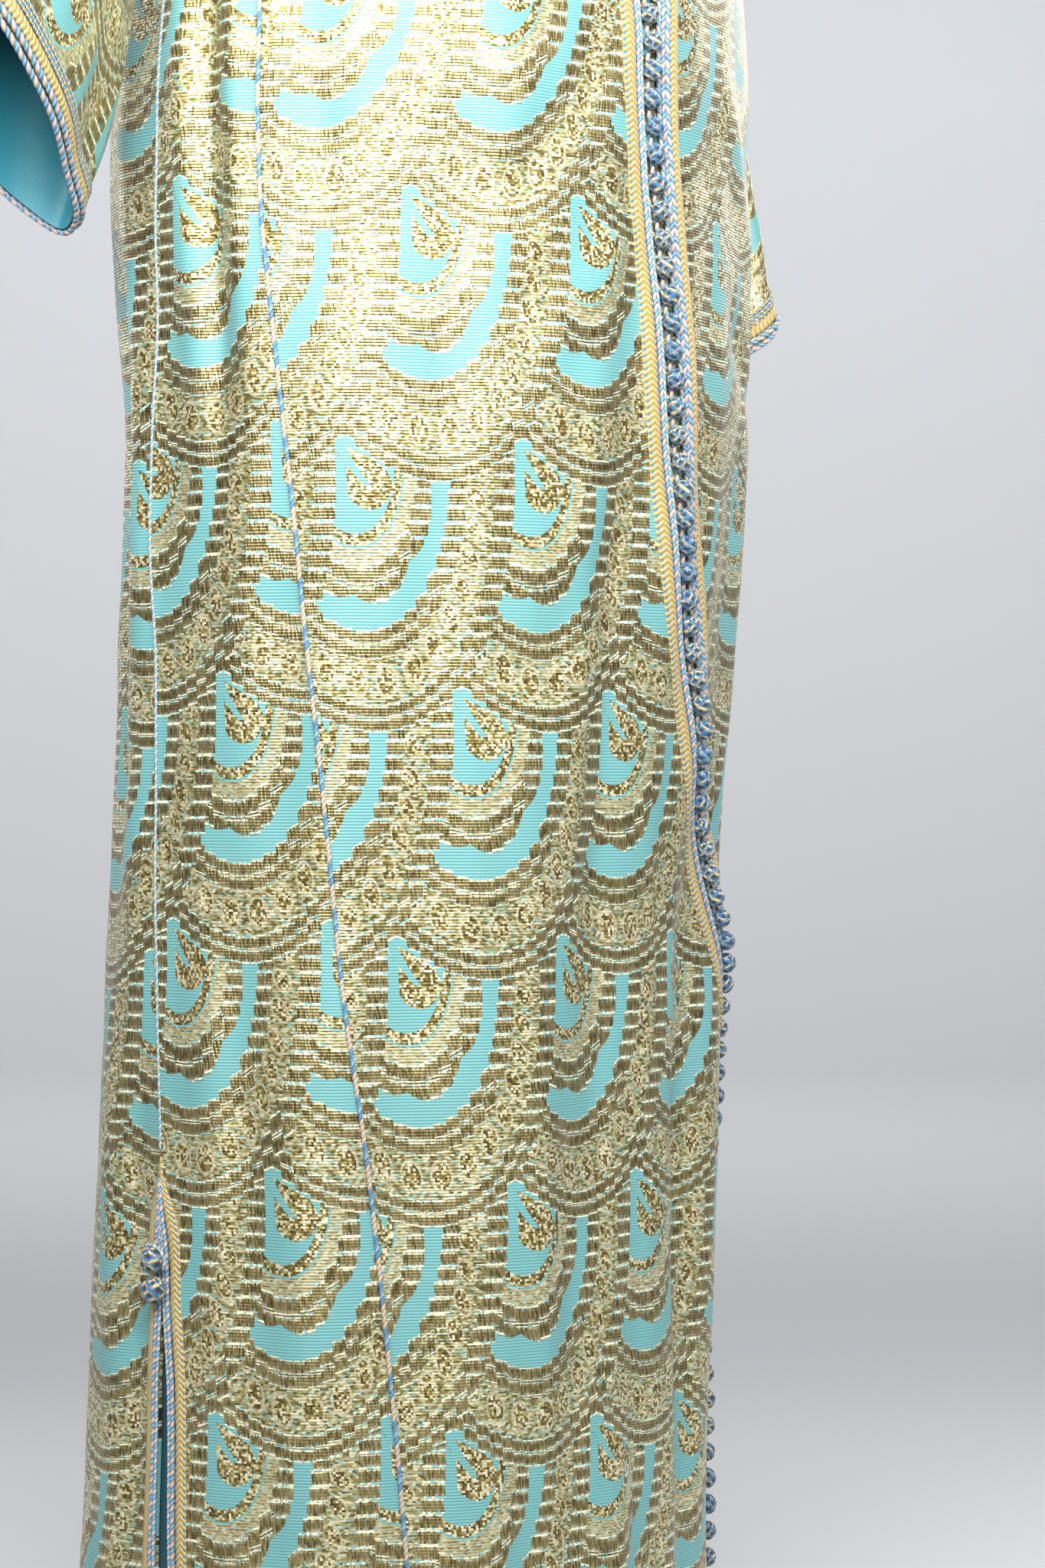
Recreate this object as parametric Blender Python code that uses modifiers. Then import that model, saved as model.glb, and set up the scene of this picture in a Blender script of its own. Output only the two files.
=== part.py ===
"""A full-length djellaba in its worn form: front and back panels, gores, wide sleeves and a hood lying
down the back, open at neck, hem and cuffs, with braid, cord and knotted buttons on its edges.

The front faces -Y, the wearer's right side is at -X, and the origin is between the shoulders, at the
base of the neck. t is the angle round the body in degrees, 0 at the front and 90 at the wearer's left.
"""

import math

import bmesh
import bpy
import numpy as np

# ---------------------------------------------------------------- driving sizes, metres
WALL = 0.0018           # brocade with its lining
LINING = 0.0012
SEAM = 0.0003           # between pieces at a seam
LIFT = 0.0009           # between a panel and what lies on it
HEM_Z = -1.44
UNDERARM_Z = -0.27
ARMHOLE_X = 0.205       # half the width between the armholes
NECK_X = 0.082          # half the width of the neck
SHOULDER_DROP = 0.32    # fall of the shoulder line for each metre outwards
SHOULDER_ROLL = 0.06    # height over which the cloth turns over the shoulder
FRONT_NECK_DROP = 0.072
BACK_NECK_DROP = 0.018
BRAID_T = 0.0012
KNOT_R = 0.0050
SLIT_KNOT_R = 0.0062
KNOT_PITCH = 0.0166
CORD_R = 0.0013
# Distances from the opening of the knots, the cord and the braid's two edges, then from a slit's edge.
RIGHT_EDGE = [0.0062, 0.0140, 0.0170, 0.0250]
LEFT_EDGE = [0.0070, 0.0110, 0.0185]
SLIT_EDGE = [0.0060, 0.0140]
SLIT_APEX_Z = -1.116
SLIT_OPEN_Z = -1.205

# Body section by height: half width, half depth at front and back, and how far back its middle lies.
SECTION = [  # z, half_x, front_y, back_y, mid_y
    (-0.27, 0.2050, 0.150, 0.146, 0.000),
    (-0.34, 0.2120, 0.164, 0.160, 0.000),
    (-0.43, 0.2180, 0.176, 0.176, 0.000),
    (-0.55, 0.2190, 0.177, 0.177, 0.000),
    (-0.69, 0.2150, 0.174, 0.172, -0.004),
    (-0.82, 0.2130, 0.172, 0.172, 0.004),
    (-0.98, 0.2110, 0.170, 0.171, 0.016),
    (-1.17, 0.2110, 0.170, 0.172, 0.023),
    (-1.36, 0.2130, 0.172, 0.174, 0.028),
    (-1.44, 0.2140, 0.173, 0.176, 0.029),
]

# Depth of the chest and back above the underarm.
CHEST = [  # z, front_y, back_y
    (0.03, 0.034, 0.052),
    (-0.02, 0.052, 0.070),
    (-0.07, 0.078, 0.092),
    (-0.13, 0.108, 0.114),
    (-0.20, 0.136, 0.134),
    (-0.27, 0.150, 0.146),
]

# Angle of each seam by height.
SEAMS = [  # z, opening, gore_right, side_right, gore_left, side_left
    (-0.27, 0.0, -89.0, -90.0, 89.0, 90.0),
    (-0.31, -0.4, -80.5, -92.5, 80.0, 92.0),
    (-0.36, -0.8, -75.5, -94.5, 75.5, 94.0),
    (-0.44, -1.2, -73.2, -96.0, 73.0, 96.0),
    (-0.53, 0.1, -73.2, -97.5, 74.0, 98.0),
    (-0.62, 2.7, -72.0, -99.5, 75.0, 99.5),
    (-0.69, 4.9, -70.2, -101.8, 76.0, 101.0),
    (-0.76, 8.6, -67.0, -101.5, 77.0, 102.5),
    (-0.82, 13.0, -64.0, -99.5, 78.5, 104.0),
    (-0.89, 20.5, -60.3, -97.8, 80.5, 105.5),
    (-0.95, 28.5, -57.4, -96.5, 82.5, 107.0),
    (-1.02, 40.0, -54.4, -95.2, 85.0, 109.0),
    (-1.11, 53.0, -49.8, -93.2, 88.0, 111.5),
    (-1.20, 57.0, -46.0, -91.5, 90.0, 113.5),
    (-1.36, 51.0, -40.6, -89.6, 92.5, 116.0),
    (-1.44, 49.0, -38.6, -89.0, 93.0, 117.0),
]

# The large folds: ridges are positive and troughs negative.
FOLDS = [  # t_top, t_hem, z_start, z_full, z_fade, depth, half_angle
    (14.0, 27.0, -0.84, -1.02, -1.60, -0.0060, 7.0),
    (30.0, 38.0, -0.90, -1.08, -1.34, 0.0090, 8.0),
    (60.0, 69.0, -0.62, -1.25, -9.00, 0.0130, 7.0),
    (74.0, 82.0, -0.62, -1.25, -9.00, -0.0120, 6.5),
    (90.0, 95.0, -0.60, -1.30, -9.00, 0.0150, 7.0),
    (104.0, 108.0, -0.66, -1.25, -9.00, -0.0110, 6.5),
    (119.0, 124.0, -0.52, -1.20, -9.00, 0.0160, 8.0),
    (138.0, 141.0, -0.58, -1.20, -9.00, -0.0110, 8.0),
    (157.0, 160.0, -0.50, -1.25, -9.00, 0.0130, 8.5),
    (178.0, 179.0, -0.60, -1.20, -9.00, -0.0090, 8.0),
    (199.0, 198.0, -0.52, -1.25, -9.00, 0.0110, 8.5),
    (218.0, 216.0, -0.66, -1.30, -9.00, -0.0050, 8.0),
    (244.0, 246.0, -0.70, -1.20, -9.00, 0.0040, 9.0),
]

# Half the gap between the two fronts, and half the gap of a side slit.
FRONT_GAP = [(-0.06, 0.0045), (-0.25, 0.0040), (-0.42, 0.0034), (-0.455, 0.0), (-2.0, 0.0)]
SLIT_GAP = [(0.0, 0.0), (SLIT_OPEN_Z + 0.002, 0.0), (-1.25, 0.0036), (-1.44, 0.0060)]

# How far a sleeve is fuller along its top than along its underside.
LEAN = {"right": 0.28, "left": 0.18}

# Sleeves: the line along the top, the line along the underside, and half the width across.
SLEEVES = {  # share, over_x, over_y, over_z, under_x, under_y, under_z, half_width
    "right": [
        (0.00, -0.2053, 0.000, -0.0000, -0.2053, 0.000, 0.0000, 0.000),
        (0.12, -0.244, 0.004, -0.108, -0.2190, 0.006, -0.305, 0.080),
        (0.30, -0.290, 0.016, -0.186, -0.2295, 0.020, -0.365, 0.068),
        (0.52, -0.334, 0.028, -0.270, -0.2400, 0.030, -0.432, 0.058),
        (0.76, -0.378, 0.036, -0.352, -0.2500, 0.038, -0.510, 0.052),
        (1.00, -0.418, 0.038, -0.432, -0.2690, 0.047, -0.579, 0.048),
    ],
    "left": [
        (0.00, 0.2053, 0.000, 0.0000, 0.2053, 0.000, 0.0000, 0.000),
        (0.12, 0.239, 0.006, -0.125, 0.2200, 0.006, -0.312, 0.080),
        (0.30, 0.262, 0.022, -0.230, 0.2310, 0.022, -0.385, 0.069),
        (0.52, 0.276, 0.032, -0.345, 0.2355, 0.034, -0.460, 0.061),
        (0.76, 0.288, 0.020, -0.462, 0.2375, 0.020, -0.545, 0.058),
        (1.00, 0.298, 0.001, -0.580, 0.2390, 0.003, -0.628, 0.060),
    ],
}
SLEEVE_COLUMNS = 20
CUFF_BAND = 0.024
LINING_GAP = 0.0010

HOOD_LIFT = 0.0075      # the inner layer of the hood off the back

# Hood: round the neck from the back (0) to the front (180), where its fold lies and how full it is.
HOOD = [  # angle, fold_x, fold_reach, fullness, rim_rise
    (0.0, 0.000, -0.395, 0.030, 0.012),
    (14.0, 0.040, -0.345, 0.031, 0.012),
    (30.0, 0.082, -0.255, 0.031, 0.013),
    (50.0, 0.122, -0.150, 0.029, 0.015),
    (72.0, 0.140, -0.060, 0.026, 0.017),
    (95.0, 0.132, 0.012, 0.022, 0.017),
    (118.0, 0.116, 0.060, 0.017, 0.014),
    (140.0, 0.082, 0.096, 0.011, 0.010),
    (158.0, 0.044, 0.112, 0.006, 0.006),
]

LOWER_ROWS = [-0.27, -0.31, -0.36, -0.43, -0.51, -0.60, -0.69, -0.78, -0.86, -0.94, -1.02, -1.11, -1.205, -1.29, -1.37, HEM_Z]
UPPER_SHARES = [0.0, 0.03, 0.10, 0.22, 0.42, 0.70, 1.0]  # of the way from the top edge down to the underarm

COLOURS = {  # name: colour, roughness, metallic
    "brocade": ((0.42, 0.52, 0.42), 0.42, 0.35),
    "lining": ((0.03, 0.20, 0.26), 0.55, 0.0),
    "braid": ((0.72, 0.52, 0.24), 0.45, 0.2),
    "cord": ((0.22, 0.42, 0.62), 0.55, 0.0),
    "knot": ((0.16, 0.36, 0.60), 0.50, 0.0),
}


# ---------------------------------------------------------------- curves and surfaces
def smooth(rows, column, x):
    """A column of a table, read at x by a curve through its rows; the first column falls or rises."""
    xs = np.array([row[0] for row in rows], float)
    ys = np.array([row[column] for row in rows], float)
    if xs[0] > xs[-1]:
        xs, ys = xs[::-1], ys[::-1]
    x = min(max(x, xs[0]), xs[-1])
    slopes = np.gradient(ys, xs)
    i = min(max(int(np.searchsorted(xs, x) - 1), 0), len(xs) - 2)
    step = xs[i + 1] - xs[i]
    u = (x - xs[i]) / step
    return float(
        ys[i] * (1 + 2 * u) * (1 - u) ** 2
        + slopes[i] * step * u * (1 - u) ** 2
        + ys[i + 1] * u * u * (3 - 2 * u)
        + slopes[i + 1] * step * u * u * (u - 1)
    )


def straight(rows, x):
    """The second column of a two-column table, read at x along straight lines."""
    pairs = sorted(rows)
    return float(np.interp(x, [p[0] for p in pairs], [p[1] for p in pairs]))


def ease(x):
    x = min(max(x, 0.0), 1.0)
    return x * x * (3 - 2 * x)


def fold_depth(t, z):
    total = 0.0
    for t_top, t_hem, z_start, z_full, z_fade, depth, half_angle in FOLDS:
        if z >= z_start:
            continue
        down = (z_start - z) / (z_start - HEM_Z)
        middle = t_top + (t_hem - t_top) * ease(down)
        away = (t - middle + 180.0) % 360.0 - 180.0
        size = ease((z_start - z) / (z_start - z_full))
        if z < z_fade:
            size *= 0.45
        elif z_fade > HEM_Z - 0.2 and z < z_full:
            size *= 1 - 0.55 * ease((z_full - z) / (z_full - z_fade))
        total += depth * size * math.exp(-((away / half_angle) ** 2))
    return total


def body_point(t, z, out=0.0):
    """A point of the body below the underarm, and the way out of it."""
    half_x, mid_y = smooth(SECTION, 1, z), smooth(SECTION, 4, z)
    angle = math.radians(t)
    s, c = math.sin(angle), math.cos(angle)
    half_y = smooth(SECTION, 2 if c > 0 else 3, z)
    normal = np.array([s / half_x, -c / half_y, 0.0])
    normal /= np.linalg.norm(normal)
    point = np.array([half_x * s, mid_y - half_y * c, z])
    return point + normal * (fold_depth(t, z) + out), normal


def radius_at(t, z):
    half_x, half_y = smooth(SECTION, 1, z), smooth(SECTION, 2, z)
    angle = math.radians(t)
    return math.hypot(half_x * math.cos(angle), half_y * math.sin(angle))


def degrees_of(distance, t, z):
    return math.degrees(distance / radius_at(t, z))


def shoulder_z(x):
    return -0.006 - SHOULDER_DROP * max(abs(x) - NECK_X, 0.0)


def depth_at(x, z, side):
    """How far the chest (side -1) or the back (side 1) lies from the shoulder line's plane."""
    depth = smooth(CHEST, 1 if side < 0 else 2, z)
    edge = ARMHOLE_X + 0.040 * ease((z - UNDERARM_Z) / 0.06)
    across = math.sqrt(max(1 - (x / edge) ** 2, 0.0))
    h = min(max((shoulder_z(x) - z) / SHOULDER_ROLL, 0.0), 1.0)
    return depth * across * math.sqrt(1 - (1 - h) ** 2)


def upper_point(x, z, side, out=0.0):
    step = 1e-5
    depth = depth_at(x, z, side)
    slope_x = (depth_at(x + step, z, side) - depth_at(x - step, z, side)) / (2 * step)
    low = max(depth_at(x, z - step, side), 0.0)
    slope_z = (depth - low) / step
    normal = np.array([-slope_x, side, -slope_z])
    normal /= np.linalg.norm(normal)
    return np.array([x, side * (depth + SEAM / 2), z]) + normal * out, normal


def neck_z(x, side):
    drop = FRONT_NECK_DROP if side < 0 else BACK_NECK_DROP
    return -0.006 - drop * math.sqrt(max(1 - (x / NECK_X) ** 2, 0.0))


def top_z(x, side):
    return neck_z(x, side) if abs(x) < NECK_X else shoulder_z(x)


def seam_t(column, z):
    return smooth(SEAMS, column, z)


def opening_edge(z, side):
    t = seam_t(1, z)
    return t + side * degrees_of(SEAM / 2 + straight(FRONT_GAP, z), t, z)


def plain_edge(column, side):
    return lambda z: seam_t(column, z) + side * degrees_of(SEAM / 2, seam_t(column, z), z)


def slit_edge(column, side):
    return lambda z: seam_t(column, z) + side * degrees_of(SEAM / 2 + straight(SLIT_GAP, z), seam_t(column, z), z)


# ---------------------------------------------------------------- modelling helpers
def empty_scene():
    for obj in list(bpy.data.objects):
        bpy.data.objects.remove(obj, do_unlink=True)
    home = bpy.data.collections.new("djellaba")
    bpy.context.scene.collection.children.link(home)
    return home


def make_materials():
    made = {}
    for name, (colour, roughness, metallic) in COLOURS.items():
        material = bpy.data.materials.new(name)
        material.use_nodes = True
        shader = material.node_tree.nodes["Principled BSDF"]
        shader.inputs["Base Color"].default_value = (*colour, 1.0)
        shader.inputs["Roughness"].default_value = roughness
        shader.inputs["Metallic"].default_value = metallic
        made[name] = material
    return made


def finish(obj, slot):
    obj.data.materials.append(materials[slot])
    home.objects.link(obj)
    return obj


def sheet(name, points, slot, thickness, outwards=False, wrap=False, normals=None):
    """A grid of points as cloth: an open surface (or a tube, with wrap) given its thickness by Solidify,
    or, where the ways out are known, by extruding it along them, so that walls meet squarely at a seam."""
    rows, columns = len(points), len(points[0])
    across = columns if wrap else columns - 1
    bm = bmesh.new()
    bmesh.ops.create_grid(bm, x_segments=across, y_segments=rows - 1, size=1.0)
    place = bm.verts.layers.int.new("place")
    for vert in bm.verts:
        j = int(round((vert.co.x + 1) / 2 * across)) % columns
        i = int(round((vert.co.y + 1) / 2 * (rows - 1)))
        vert.co = points[i][j]
        vert[place] = i * columns + j
    if wrap:
        bmesh.ops.remove_doubles(bm, verts=bm.verts, dist=1e-6)
    if normals is not None:
        made = bmesh.ops.extrude_face_region(bm, geom=list(bm.faces), use_keep_orig=True)
        way = thickness if outwards else -thickness
        for vert in [v for v in made["geom"] if isinstance(v, bmesh.types.BMVert)]:
            vert.co = np.array(vert.co) + normals[vert[place] // columns][vert[place] % columns] * way
        bmesh.ops.recalc_face_normals(bm, faces=bm.faces)
    mesh = bpy.data.meshes.new(name)
    bm.to_mesh(mesh)
    bm.free()
    obj = bpy.data.objects.new(name, mesh)
    if normals is None:
        solidify = obj.modifiers.new("wall", "SOLIDIFY")
        solidify.thickness = thickness
        solidify.offset = 1.0 if outwards else -1.0
    mesh.shade_smooth()
    return finish(obj, slot)


def cord(name, path, radius, slot, sides=1, radii=None):
    curve = bpy.data.curves.new(name, "CURVE")
    curve.dimensions = "3D"
    curve.bevel_depth = radius
    curve.bevel_resolution = sides
    curve.use_fill_caps = True
    spline = curve.splines.new("POLY")
    spline.points.add(len(path) - 1)
    for i, point in enumerate(path):
        spline.points[i].co = (*point, 1.0)
        spline.points[i].radius = radii[i] if radii else 1.0
    return finish(bpy.data.objects.new(name, curve), slot)


class Panel:
    """A cloth panel: rows of points and of outward directions, from the hem to its top edge."""

    def __init__(self, points, normals, heights):
        self.points, self.normals, self.heights = points, normals, heights

    def at(self, share, z, out):
        """A point on the panel's flat facets, at a share of its width and a height, moved out."""
        heights = self.heights
        i = min(max(int(np.searchsorted(heights, z) - 1), 0), len(heights) - 2)
        v = (z - heights[i]) / (heights[i + 1] - heights[i])
        j = min(int(share), self.points.shape[1] - 2)
        u = share - j
        both = []
        for grid in (self.points, self.normals):
            low = grid[i, j] * (1 - u) + grid[i, j + 1] * u
            high = grid[i + 1, j] * (1 - u) + grid[i + 1, j + 1] * u
            both.append(low * (1 - v) + high * v)
        way = both[1] / np.linalg.norm(both[1])
        return both[0] + way * out, way


def columns_of(t0, t1, z, first, count, last):
    """Angles across a panel: columns at set distances from an edge that carries trim, and even ones between."""
    near = [t0] + [t0 + degrees_of(d, t0, z) for d in first]
    far = [t1 - degrees_of(d, t1, z) for d in reversed(last)] + [t1]
    start, end = near[-1], far[0]
    return near + [start + (end - start) * k / count for k in range(1, count)] + far


def body_panel(name, edge0, edge1, first, count, last, side=0, heights=None):
    """A panel between two edges. With a side it goes on above the underarm, to the shoulder and neck."""
    heights = list(reversed(heights or LOWER_ROWS))
    points, normals = [], []
    for z in heights:
        row = [body_point(t, z) for t in columns_of(edge0(z), edge1(z), z, first, count, last)]
        points.append([p for p, _ in row])
        normals.append([n for _, n in row])
    if side:
        base = points[-1]
        x0, x1 = base[0][0], base[-1][0]
        for share in reversed(UPPER_SHARES[:-1]):
            row, row_normals = [], []
            for p in base:
                across = (p[0] - x0) / (x1 - x0)
                left, right = ends_above(name, x0, x1, share)
                x = left + (right - left) * across
                top = top_z(x, side)
                z = top + (UNDERARM_Z - top) * share
                point, normal = upper_point(x, z, side)
                row.append(point)
                row_normals.append(normal)
            points.append(row)
            normals.append(row_normals)
    panel = Panel(np.array(points), np.array(normals), heights)
    sheet(name, points, "brocade", WALL, normals=normals)
    return panel


def ends_above(name, x0, x1, share):
    """Where a panel's two side edges lie above the underarm."""
    top = -0.006 - FRONT_NECK_DROP
    z = top + (UNDERARM_Z - top) * share
    gap = SEAM / 2 + straight(FRONT_GAP, z)
    if name == "front_right":
        return -ARMHOLE_X, -gap
    if name == "front_left":
        return gap, ARMHOLE_X
    return (-ARMHOLE_X, ARMHOLE_X) if x0 < x1 else (ARMHOLE_X, -ARMHOLE_X)


# ---------------------------------------------------------------- the garment
def make_panels():
    panels = {}
    panels["front_right"] = body_panel(
        "front_right", plain_edge(2, 1), lambda z: opening_edge(z, -1), [], 8, RIGHT_EDGE, side=-1)
    panels["front_left"] = body_panel(
        "front_left", lambda z: opening_edge(z, 1), plain_edge(4, -1), LEFT_EDGE, 7, [], side=-1)
    panels["front_gore_right"] = body_panel(
        "front_gore_right", slit_edge(3, 1), plain_edge(2, -1), [], 4, [], heights=[UNDERARM_Z - 0.003] + LOWER_ROWS[1:])
    panels["front_gore_left"] = body_panel(
        "front_gore_left", plain_edge(4, 1), slit_edge(5, -1), [], 4, [], heights=[UNDERARM_Z - 0.003] + LOWER_ROWS[1:])
    panels["back"] = body_panel(
        "back", slit_edge(5, 1), lambda z: slit_edge(3, -1)(z) + 360.0, SLIT_EDGE, 19, SLIT_EDGE, side=1)
    return panels


def armhole_ring(sign):
    """The sleeve's first ring: the edge of the armhole, moved out by the seam."""
    top, bottom = shoulder_z(ARMHOLE_X), UNDERARM_Z
    ring = []
    for k in range(SLEEVE_COLUMNS):
        angle = 2 * math.pi * k / SLEEVE_COLUMNS
        z = (top + bottom) / 2 + (top - bottom) / 2 * math.cos(angle)
        side = -1 if math.sin(angle) > 0 else 1
        y = depth_at(ARMHOLE_X, z, side) if abs(math.sin(angle)) > 1e-6 else 0.0
        ring.append(np.array([sign * (ARMHOLE_X + SEAM), side * y, z]))
    return ring


def sleeve_ring(table, share, across, lean):
    """A ring of the sleeve, at a share of its length. across is the way from back to front."""
    if share <= 0:
        return None
    over = np.array([smooth(table[1:], c, share) for c in (1, 2, 3)])
    under = np.array([smooth(table[1:], c, share) for c in (4, 5, 6)])
    half = smooth(table[1:], 7, share)
    middle, long_way = (over + under) / 2, (over - under) / 2
    ring = []
    for k in range(SLEEVE_COLUMNS):
        angle = 2 * math.pi * k / SLEEVE_COLUMNS
        full = half * math.sin(angle) * (1 + lean * math.cos(angle))
        ring.append(middle + long_way * math.cos(angle) + across * full)
    return ring


def make_sleeve(side):
    sign = -1 if side == "right" else 1
    table = SLEEVES[side]
    forward = np.array([0.0, -1.0, 0.0])
    shares = [0.0, 0.12, 0.30, 0.52, 0.72, 0.86, 1.0]
    rings = [armhole_ring(sign)] + [sleeve_ring(table, s, forward, LEAN[side]) for s in shares[1:]]
    rings = np.array(rings)
    along = np.gradient(rings, axis=0)
    round_it = np.roll(rings, -1, axis=1) - np.roll(rings, 1, axis=1)
    normals = np.cross(round_it, along)
    outwards = rings - rings.mean(axis=1, keepdims=True)
    normals *= np.sign((normals * outwards).sum(axis=2).mean())
    normals[0, :, 0] = 0.0  # the first ring meets the armhole squarely
    normals /= np.linalg.norm(normals, axis=2, keepdims=True)
    sheet("sleeve_" + side, rings, "brocade", WALL, wrap=True, normals=normals)

    def band(back_from_edge, out):
        """A ring that far up from the cuff's edge, moved out of the sleeve or into it."""
        u = back_from_edge / np.linalg.norm(rings[-1] - rings[-2], axis=1).mean()
        way = normals[-1] * (1 - u) + normals[-2] * u
        way /= np.linalg.norm(way, axis=1, keepdims=True)
        return rings[-1] * (1 - u) + rings[-2] * u + way * out, way

    rows = [band(CUFF_BAND, LIFT), band(0.0005, LIFT)]
    sheet("cuff_braid_" + side, [r for r, _ in rows], "braid", BRAID_T, outwards=True, wrap=True, normals=[w for _, w in rows])
    inside = WALL + LINING_GAP
    edge, way = band(0.0015, -inside)
    lining = [rings[-3] - normals[-3] * inside, rings[-2] - normals[-2] * inside, edge]
    sheet("sleeve_lining_" + side, lining, "lining", LINING, wrap=True, normals=[normals[-3], normals[-2], way])


def neck_point(angle, out, reach=None, fold_x=None, share=0.0):
    """A point round the neck: angle 0 at the back and 180 at the front. share leads from the neckline to the fold."""
    a = math.radians(angle)
    x = NECK_X * math.sin(a)
    q_neck = -FRONT_REACH * max(-math.cos(a), 0.0) ** 0.9 if math.cos(a) < 0 else BACK_REACH * math.cos(a) ** 0.9
    if reach is None:
        return shoulder_surface(x, q_neck, out)
    x = x + (fold_x - x) * share
    q = q_neck + (-reach - q_neck) * share
    return shoulder_surface(x, q, out)


BACK_REACH = 0.060   # way along the cloth from the shoulder line to the back neckline
FRONT_REACH = 0.110


def shoulder_surface(x, q, out):
    """A point of the cloth at x, reached by going q back over the shoulder (or -q forward), moved out."""
    side = 1 if q >= 0 else -1
    turn = SHOULDER_ROLL * math.pi / 2
    if abs(q) < turn:
        z = shoulder_z(x) - SHOULDER_ROLL * (1 - math.cos(abs(q) / SHOULDER_ROLL))
    else:
        z = shoulder_z(x) - SHOULDER_ROLL - (abs(q) - turn)
    if z > UNDERARM_Z:
        point, normal = upper_point(x, min(z, shoulder_z(x) - 1e-6), side, out)
    else:
        half_x = smooth(SECTION, 1, z)
        t = math.degrees(math.asin(max(min(x / half_x, 1), -1)))
        point, normal = body_point(180 - t if side > 0 else t, z, out)
    return point, normal


def make_hood():
    """A pouch lying down the back: from the neckline down to its fold, and up again to its rim."""
    half = [8, 18, 30, 42, 56, 72, 88, 104, 120, 140, 158]
    angles = [-a for a in reversed(half)] + [0] + half
    shares = [0.06, 0.20, 0.36, 0.54, 0.72, 0.88, 0.97, 1.0, 0.96, 0.84, 0.66, 0.46, 0.27, 0.12, -0.02]
    lifts = [0.0, 0.0, 0.0, 0.0, 0.02, 0.06, 0.16, 0.36, 0.58, 0.80, 0.94, 1.0, 1.0, 1.0, 1.02]
    rows = []
    for share, lift in zip(shares, lifts):
        row = []
        for angle in angles:
            a = abs(angle)
            fold_x, reach, full, rise = (smooth(HOOD, c, a) for c in (1, 2, 3, 4))
            out = HOOD_LIFT + full * lift
            point, _ = neck_point(a, out, reach, fold_x, share)
            if share < 0.2 and lift > 0.9:
                point = point + np.array([0.0, 0.0, rise * (1.0 - share / 0.12 * 0.5)])
            row.append(point * np.array([math.copysign(1.0, angle), 1.0, 1.0]))
        rows.append(row)
    sheet("hood", rows, "brocade", WALL)


def rows_up(panel, shares, out):
    """Points on all the panel's rows, hem to top edge, at shares of its width, and the ways out there.
    The run stops a little short of the hem and of the neckline."""
    rows, ways = [], []
    for i in range(len(panel.points)):
        row, row_ways = [], []
        for share in shares:
            j = min(int(share), panel.points.shape[1] - 2)
            u = share - j
            way = panel.normals[i, j] * (1 - u) + panel.normals[i, j + 1] * u
            way /= np.linalg.norm(way)
            row.append(panel.points[i, j] * (1 - u) + panel.points[i, j + 1] * u + way * out)
            row_ways.append(way)
        rows.append(row)
        ways.append(row_ways)
    rows[0] = [a + (b - a) * 0.03 for a, b in zip(rows[0], rows[1])]
    rows[-1] = [a + (b - a) * 0.25 for a, b in zip(rows[-1], rows[-2])]
    return rows, ways


def make_front_trim(panels):
    right, left = panels["front_right"], panels["front_left"]
    end = right.points.shape[1] - 1
    for name, panel, shares in (
        ("front_braid_right", right, (end - 4, end - 3)),
        ("front_braid_left", left, (2, 3)),
    ):
        rows, ways = rows_up(panel, shares, LIFT)
        sheet(name, rows, "braid", BRAID_T, outwards=True, normals=ways)
    for name, panel, share in (("front_cord_right", right, end - 2), ("front_cord_left", left, 1)):
        rows, _ = rows_up(panel, [share], LIFT + CORD_R)
        cord(name, [row[0] for row in rows], CORD_R, "cord")

    rows, _ = rows_up(right, [end - 1], LIFT + KNOT_R)
    line = np.array([row[0] for row in rows])
    steps = np.concatenate([[0], np.cumsum(np.linalg.norm(np.diff(line, axis=0), axis=1))])
    path, radii = [], []
    for k in range(int((steps[-1] - 0.020) / KNOT_PITCH)):
        for offset, size in ((0.0, 0.30), (0.30, 0.98), (0.70, 0.98)):
            d = 0.010 + (k + offset) * KNOT_PITCH
            path.append([np.interp(d, steps, line[:, c]) for c in range(3)])
            radii.append(size)
    cord("knot_row", path, KNOT_R, "knot", sides=1, radii=radii)


def make_facings(panels):
    """The lining where it shows: behind the front opening and behind each slit."""
    inside = -(WALL + LINING_GAP + 0.0012)
    rows, ways = [], []
    right, left, back = panels["front_right"], panels["front_left"], panels["back"]
    for i in range(len(right.points) - 1):
        row, row_ways = [], []
        for panel, share in ((right, -5), (right, -3), (right, -1), (left, 0), (left, 2), (left, 3)):
            row.append(panel.points[i, share] + panel.normals[i, share] * inside)
            row_ways.append(panel.normals[i, share])
        rows.append(row)
        ways.append(row_ways)
    rows[0] = [p + np.array([0, 0, 0.006]) for p in rows[0]]
    sheet("front_facing", rows, "lining", LINING, normals=ways)
    for side, gore in (("right", panels["front_gore_right"]), ("left", panels["front_gore_left"])):
        last_gore, last_back = gore.points.shape[1] - 1, back.points.shape[1] - 1
        shares = (
            [(back, last_back - 2.0), (back, last_back - 0.001), (gore, 0.0), (gore, 1.0)]
            if side == "right"
            else [(gore, last_gore - 1.0), (gore, last_gore - 0.001), (back, 0.0), (back, 2.0)]
        )
        rows, ways = [], []
        for z in (HEM_Z + 0.006, -1.37, -1.29, -1.205, -1.14):
            both = [panel.at(share, z, inside) for panel, share in shares]
            rows.append([p for p, _ in both])
            ways.append([w for _, w in both])
        sheet("slit_facing_" + side, rows, "lining", LINING, normals=ways)


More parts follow.
